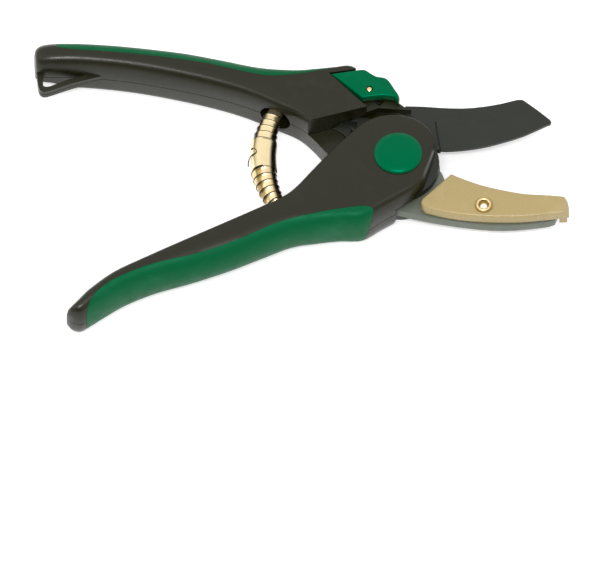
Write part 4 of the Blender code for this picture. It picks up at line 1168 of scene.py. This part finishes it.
def make_camera():
    lens = bpy.data.cameras.new("camera")
    lens.sensor_width = 36.0
    lens.lens = lens.sensor_width * DISTANCE / FRAME_WIDTH
    lens.clip_start = 0.01
    lens.clip_end = 20.0
    camera = bpy.data.objects.new("camera", lens)
    bpy.context.scene.collection.objects.link(camera)
    back = Vector((0.0, -math.cos(ELEVATION), math.sin(ELEVATION)))
    camera.location = (Vector(TARGET) + back * DISTANCE) * MM
    camera.rotation_euler = (math.pi / 2 - ELEVATION, 0.0, 0.0)
    bpy.context.scene.camera = camera


def area_light(name, place, towards, size, power):
    light = bpy.data.lights.new(name, "AREA")
    light.shape = "RECTANGLE"
    light.size, light.size_y = size
    light.energy = power
    lamp = bpy.data.objects.new(name, light)
    bpy.context.scene.collection.objects.link(lamp)
    lamp.location = place
    aim = Vector(towards) - Vector(place)
    lamp.rotation_euler = aim.to_track_quat("-Z", "Y").to_euler()


WORLD_LOW = 0.52  # brightness of the studio at the horizon and overhead
WORLD_HIGH = 0.92
FRONT_SHADE = 0.22  # share of it left in the unlit room in front of the table
FRONT_FROM = (-0.92, -0.42)

# Area lights: place and aim in metres, width and height, power
LIGHTS = {
    "overhead": ((-0.05, -0.25, 1.5), (0.0, 0.0, 0.0), (2, 1.2), 2.4),
    "front_strip": ((-0.03, -0.7, 1.33), (-0.03, 0.0, 0.0), (0.7, 0.08), 12.5),
    "left_side": ((-1.3, 0.1, 0.8), (0.0, 0.0, 0.0), (0.9, 1), 2.5),
}


def make_studio():
    world = bpy.data.worlds.new("studio")
    bpy.context.scene.world = world
    world.use_nodes = True
    tree = world.node_tree
    background = tree.nodes["Background"]
    background.inputs["Color"].default_value = (1.0, 1.0, 1.0, 1.0)
    coords = tree.nodes.new("ShaderNodeTexCoord")
    split = tree.nodes.new("ShaderNodeSeparateXYZ")
    tree.links.new(coords.outputs["Generated"], split.inputs["Vector"])
    glow = remap(tree, split.outputs["Z"], WORLD_LOW, WORLD_HIGH, 0.0, 0.5)
    front = remap(tree, split.outputs["Y"], FRONT_SHADE, 1.0, *FRONT_FROM)
    tree.links.new(times(tree, glow, front), background.inputs["Strength"])
    for name, light in LIGHTS.items():
        area_light(name, *light)
    bpy.context.scene.view_settings.view_transform = "Standard"


FLOOR_GLOW = 0.50  # a lit table top, which keeps the shadows faint
FLOOR_HALF = 3.0  # half its side, in metres
FLOOR_ROOM = 0.0003  # how far it lies under the tool, in metres


def make_floor():
    build = bmesh.new()
    bmesh.ops.create_grid(build, x_segments=1, y_segments=1, size=FLOOR_HALF)
    floor = bpy.data.objects.new("floor", mesh_of(build, "floor"))
    bpy.context.scene.collection.objects.link(floor)
    low = min(corner[2] for corner in cad_box)
    floor.location = (0.0, 0.0, low - FLOOR_ROOM)
    paint = bpy.data.materials.new("floor_paint")
    paint.use_nodes = True
    tree = paint.node_tree
    shader = tree.nodes["Principled BSDF"]
    coords = tree.nodes.new("ShaderNodeTexCoord").outputs["Object"]
    shade = noise(tree, coords, 6.0)
    tree.links.new(mix(tree, shade, (0.62, 0.62, 0.622), (0.65, 0.65, 0.65)), shader.inputs["Base Color"])
    shader.inputs["Roughness"].default_value = 0.9
    shader.inputs["Specular IOR Level"].default_value = 0.0
    shader.inputs["Emission Color"].default_value = (1.0, 1.0, 1.0, 1.0)
    shader.inputs["Emission Strength"].default_value = FLOOR_GLOW
    floor.data.materials.append(paint)


# ---- build

parts = new_collection("looks")
cutters = new_collection("cutters")
materials = make_materials()

make_camera()
make_studio()
make_floor()
make_lower_shells()
make_grip("lower_grip", LOWER_STATIONS, lower_region, "lower_body")
make_ground_blade()
make_upper_shells()
make_grip("upper_grip", UPPER_STATIONS, upper_region, "upper_body")
make_jaw_plate()
make_anvil()
make_anvil_fixings()
make_catch()
make_pivot()
make_spring()
for side, places in (("lower", LOWER_SCREWS), ("upper", UPPER_SCREWS)):
    for number, place in enumerate(places, 1):
        handle_screw(f"{side}_screw_{number}", place, f"{side}_body")
for tool in list(cutters.objects):
    bpy.data.objects.remove(tool)
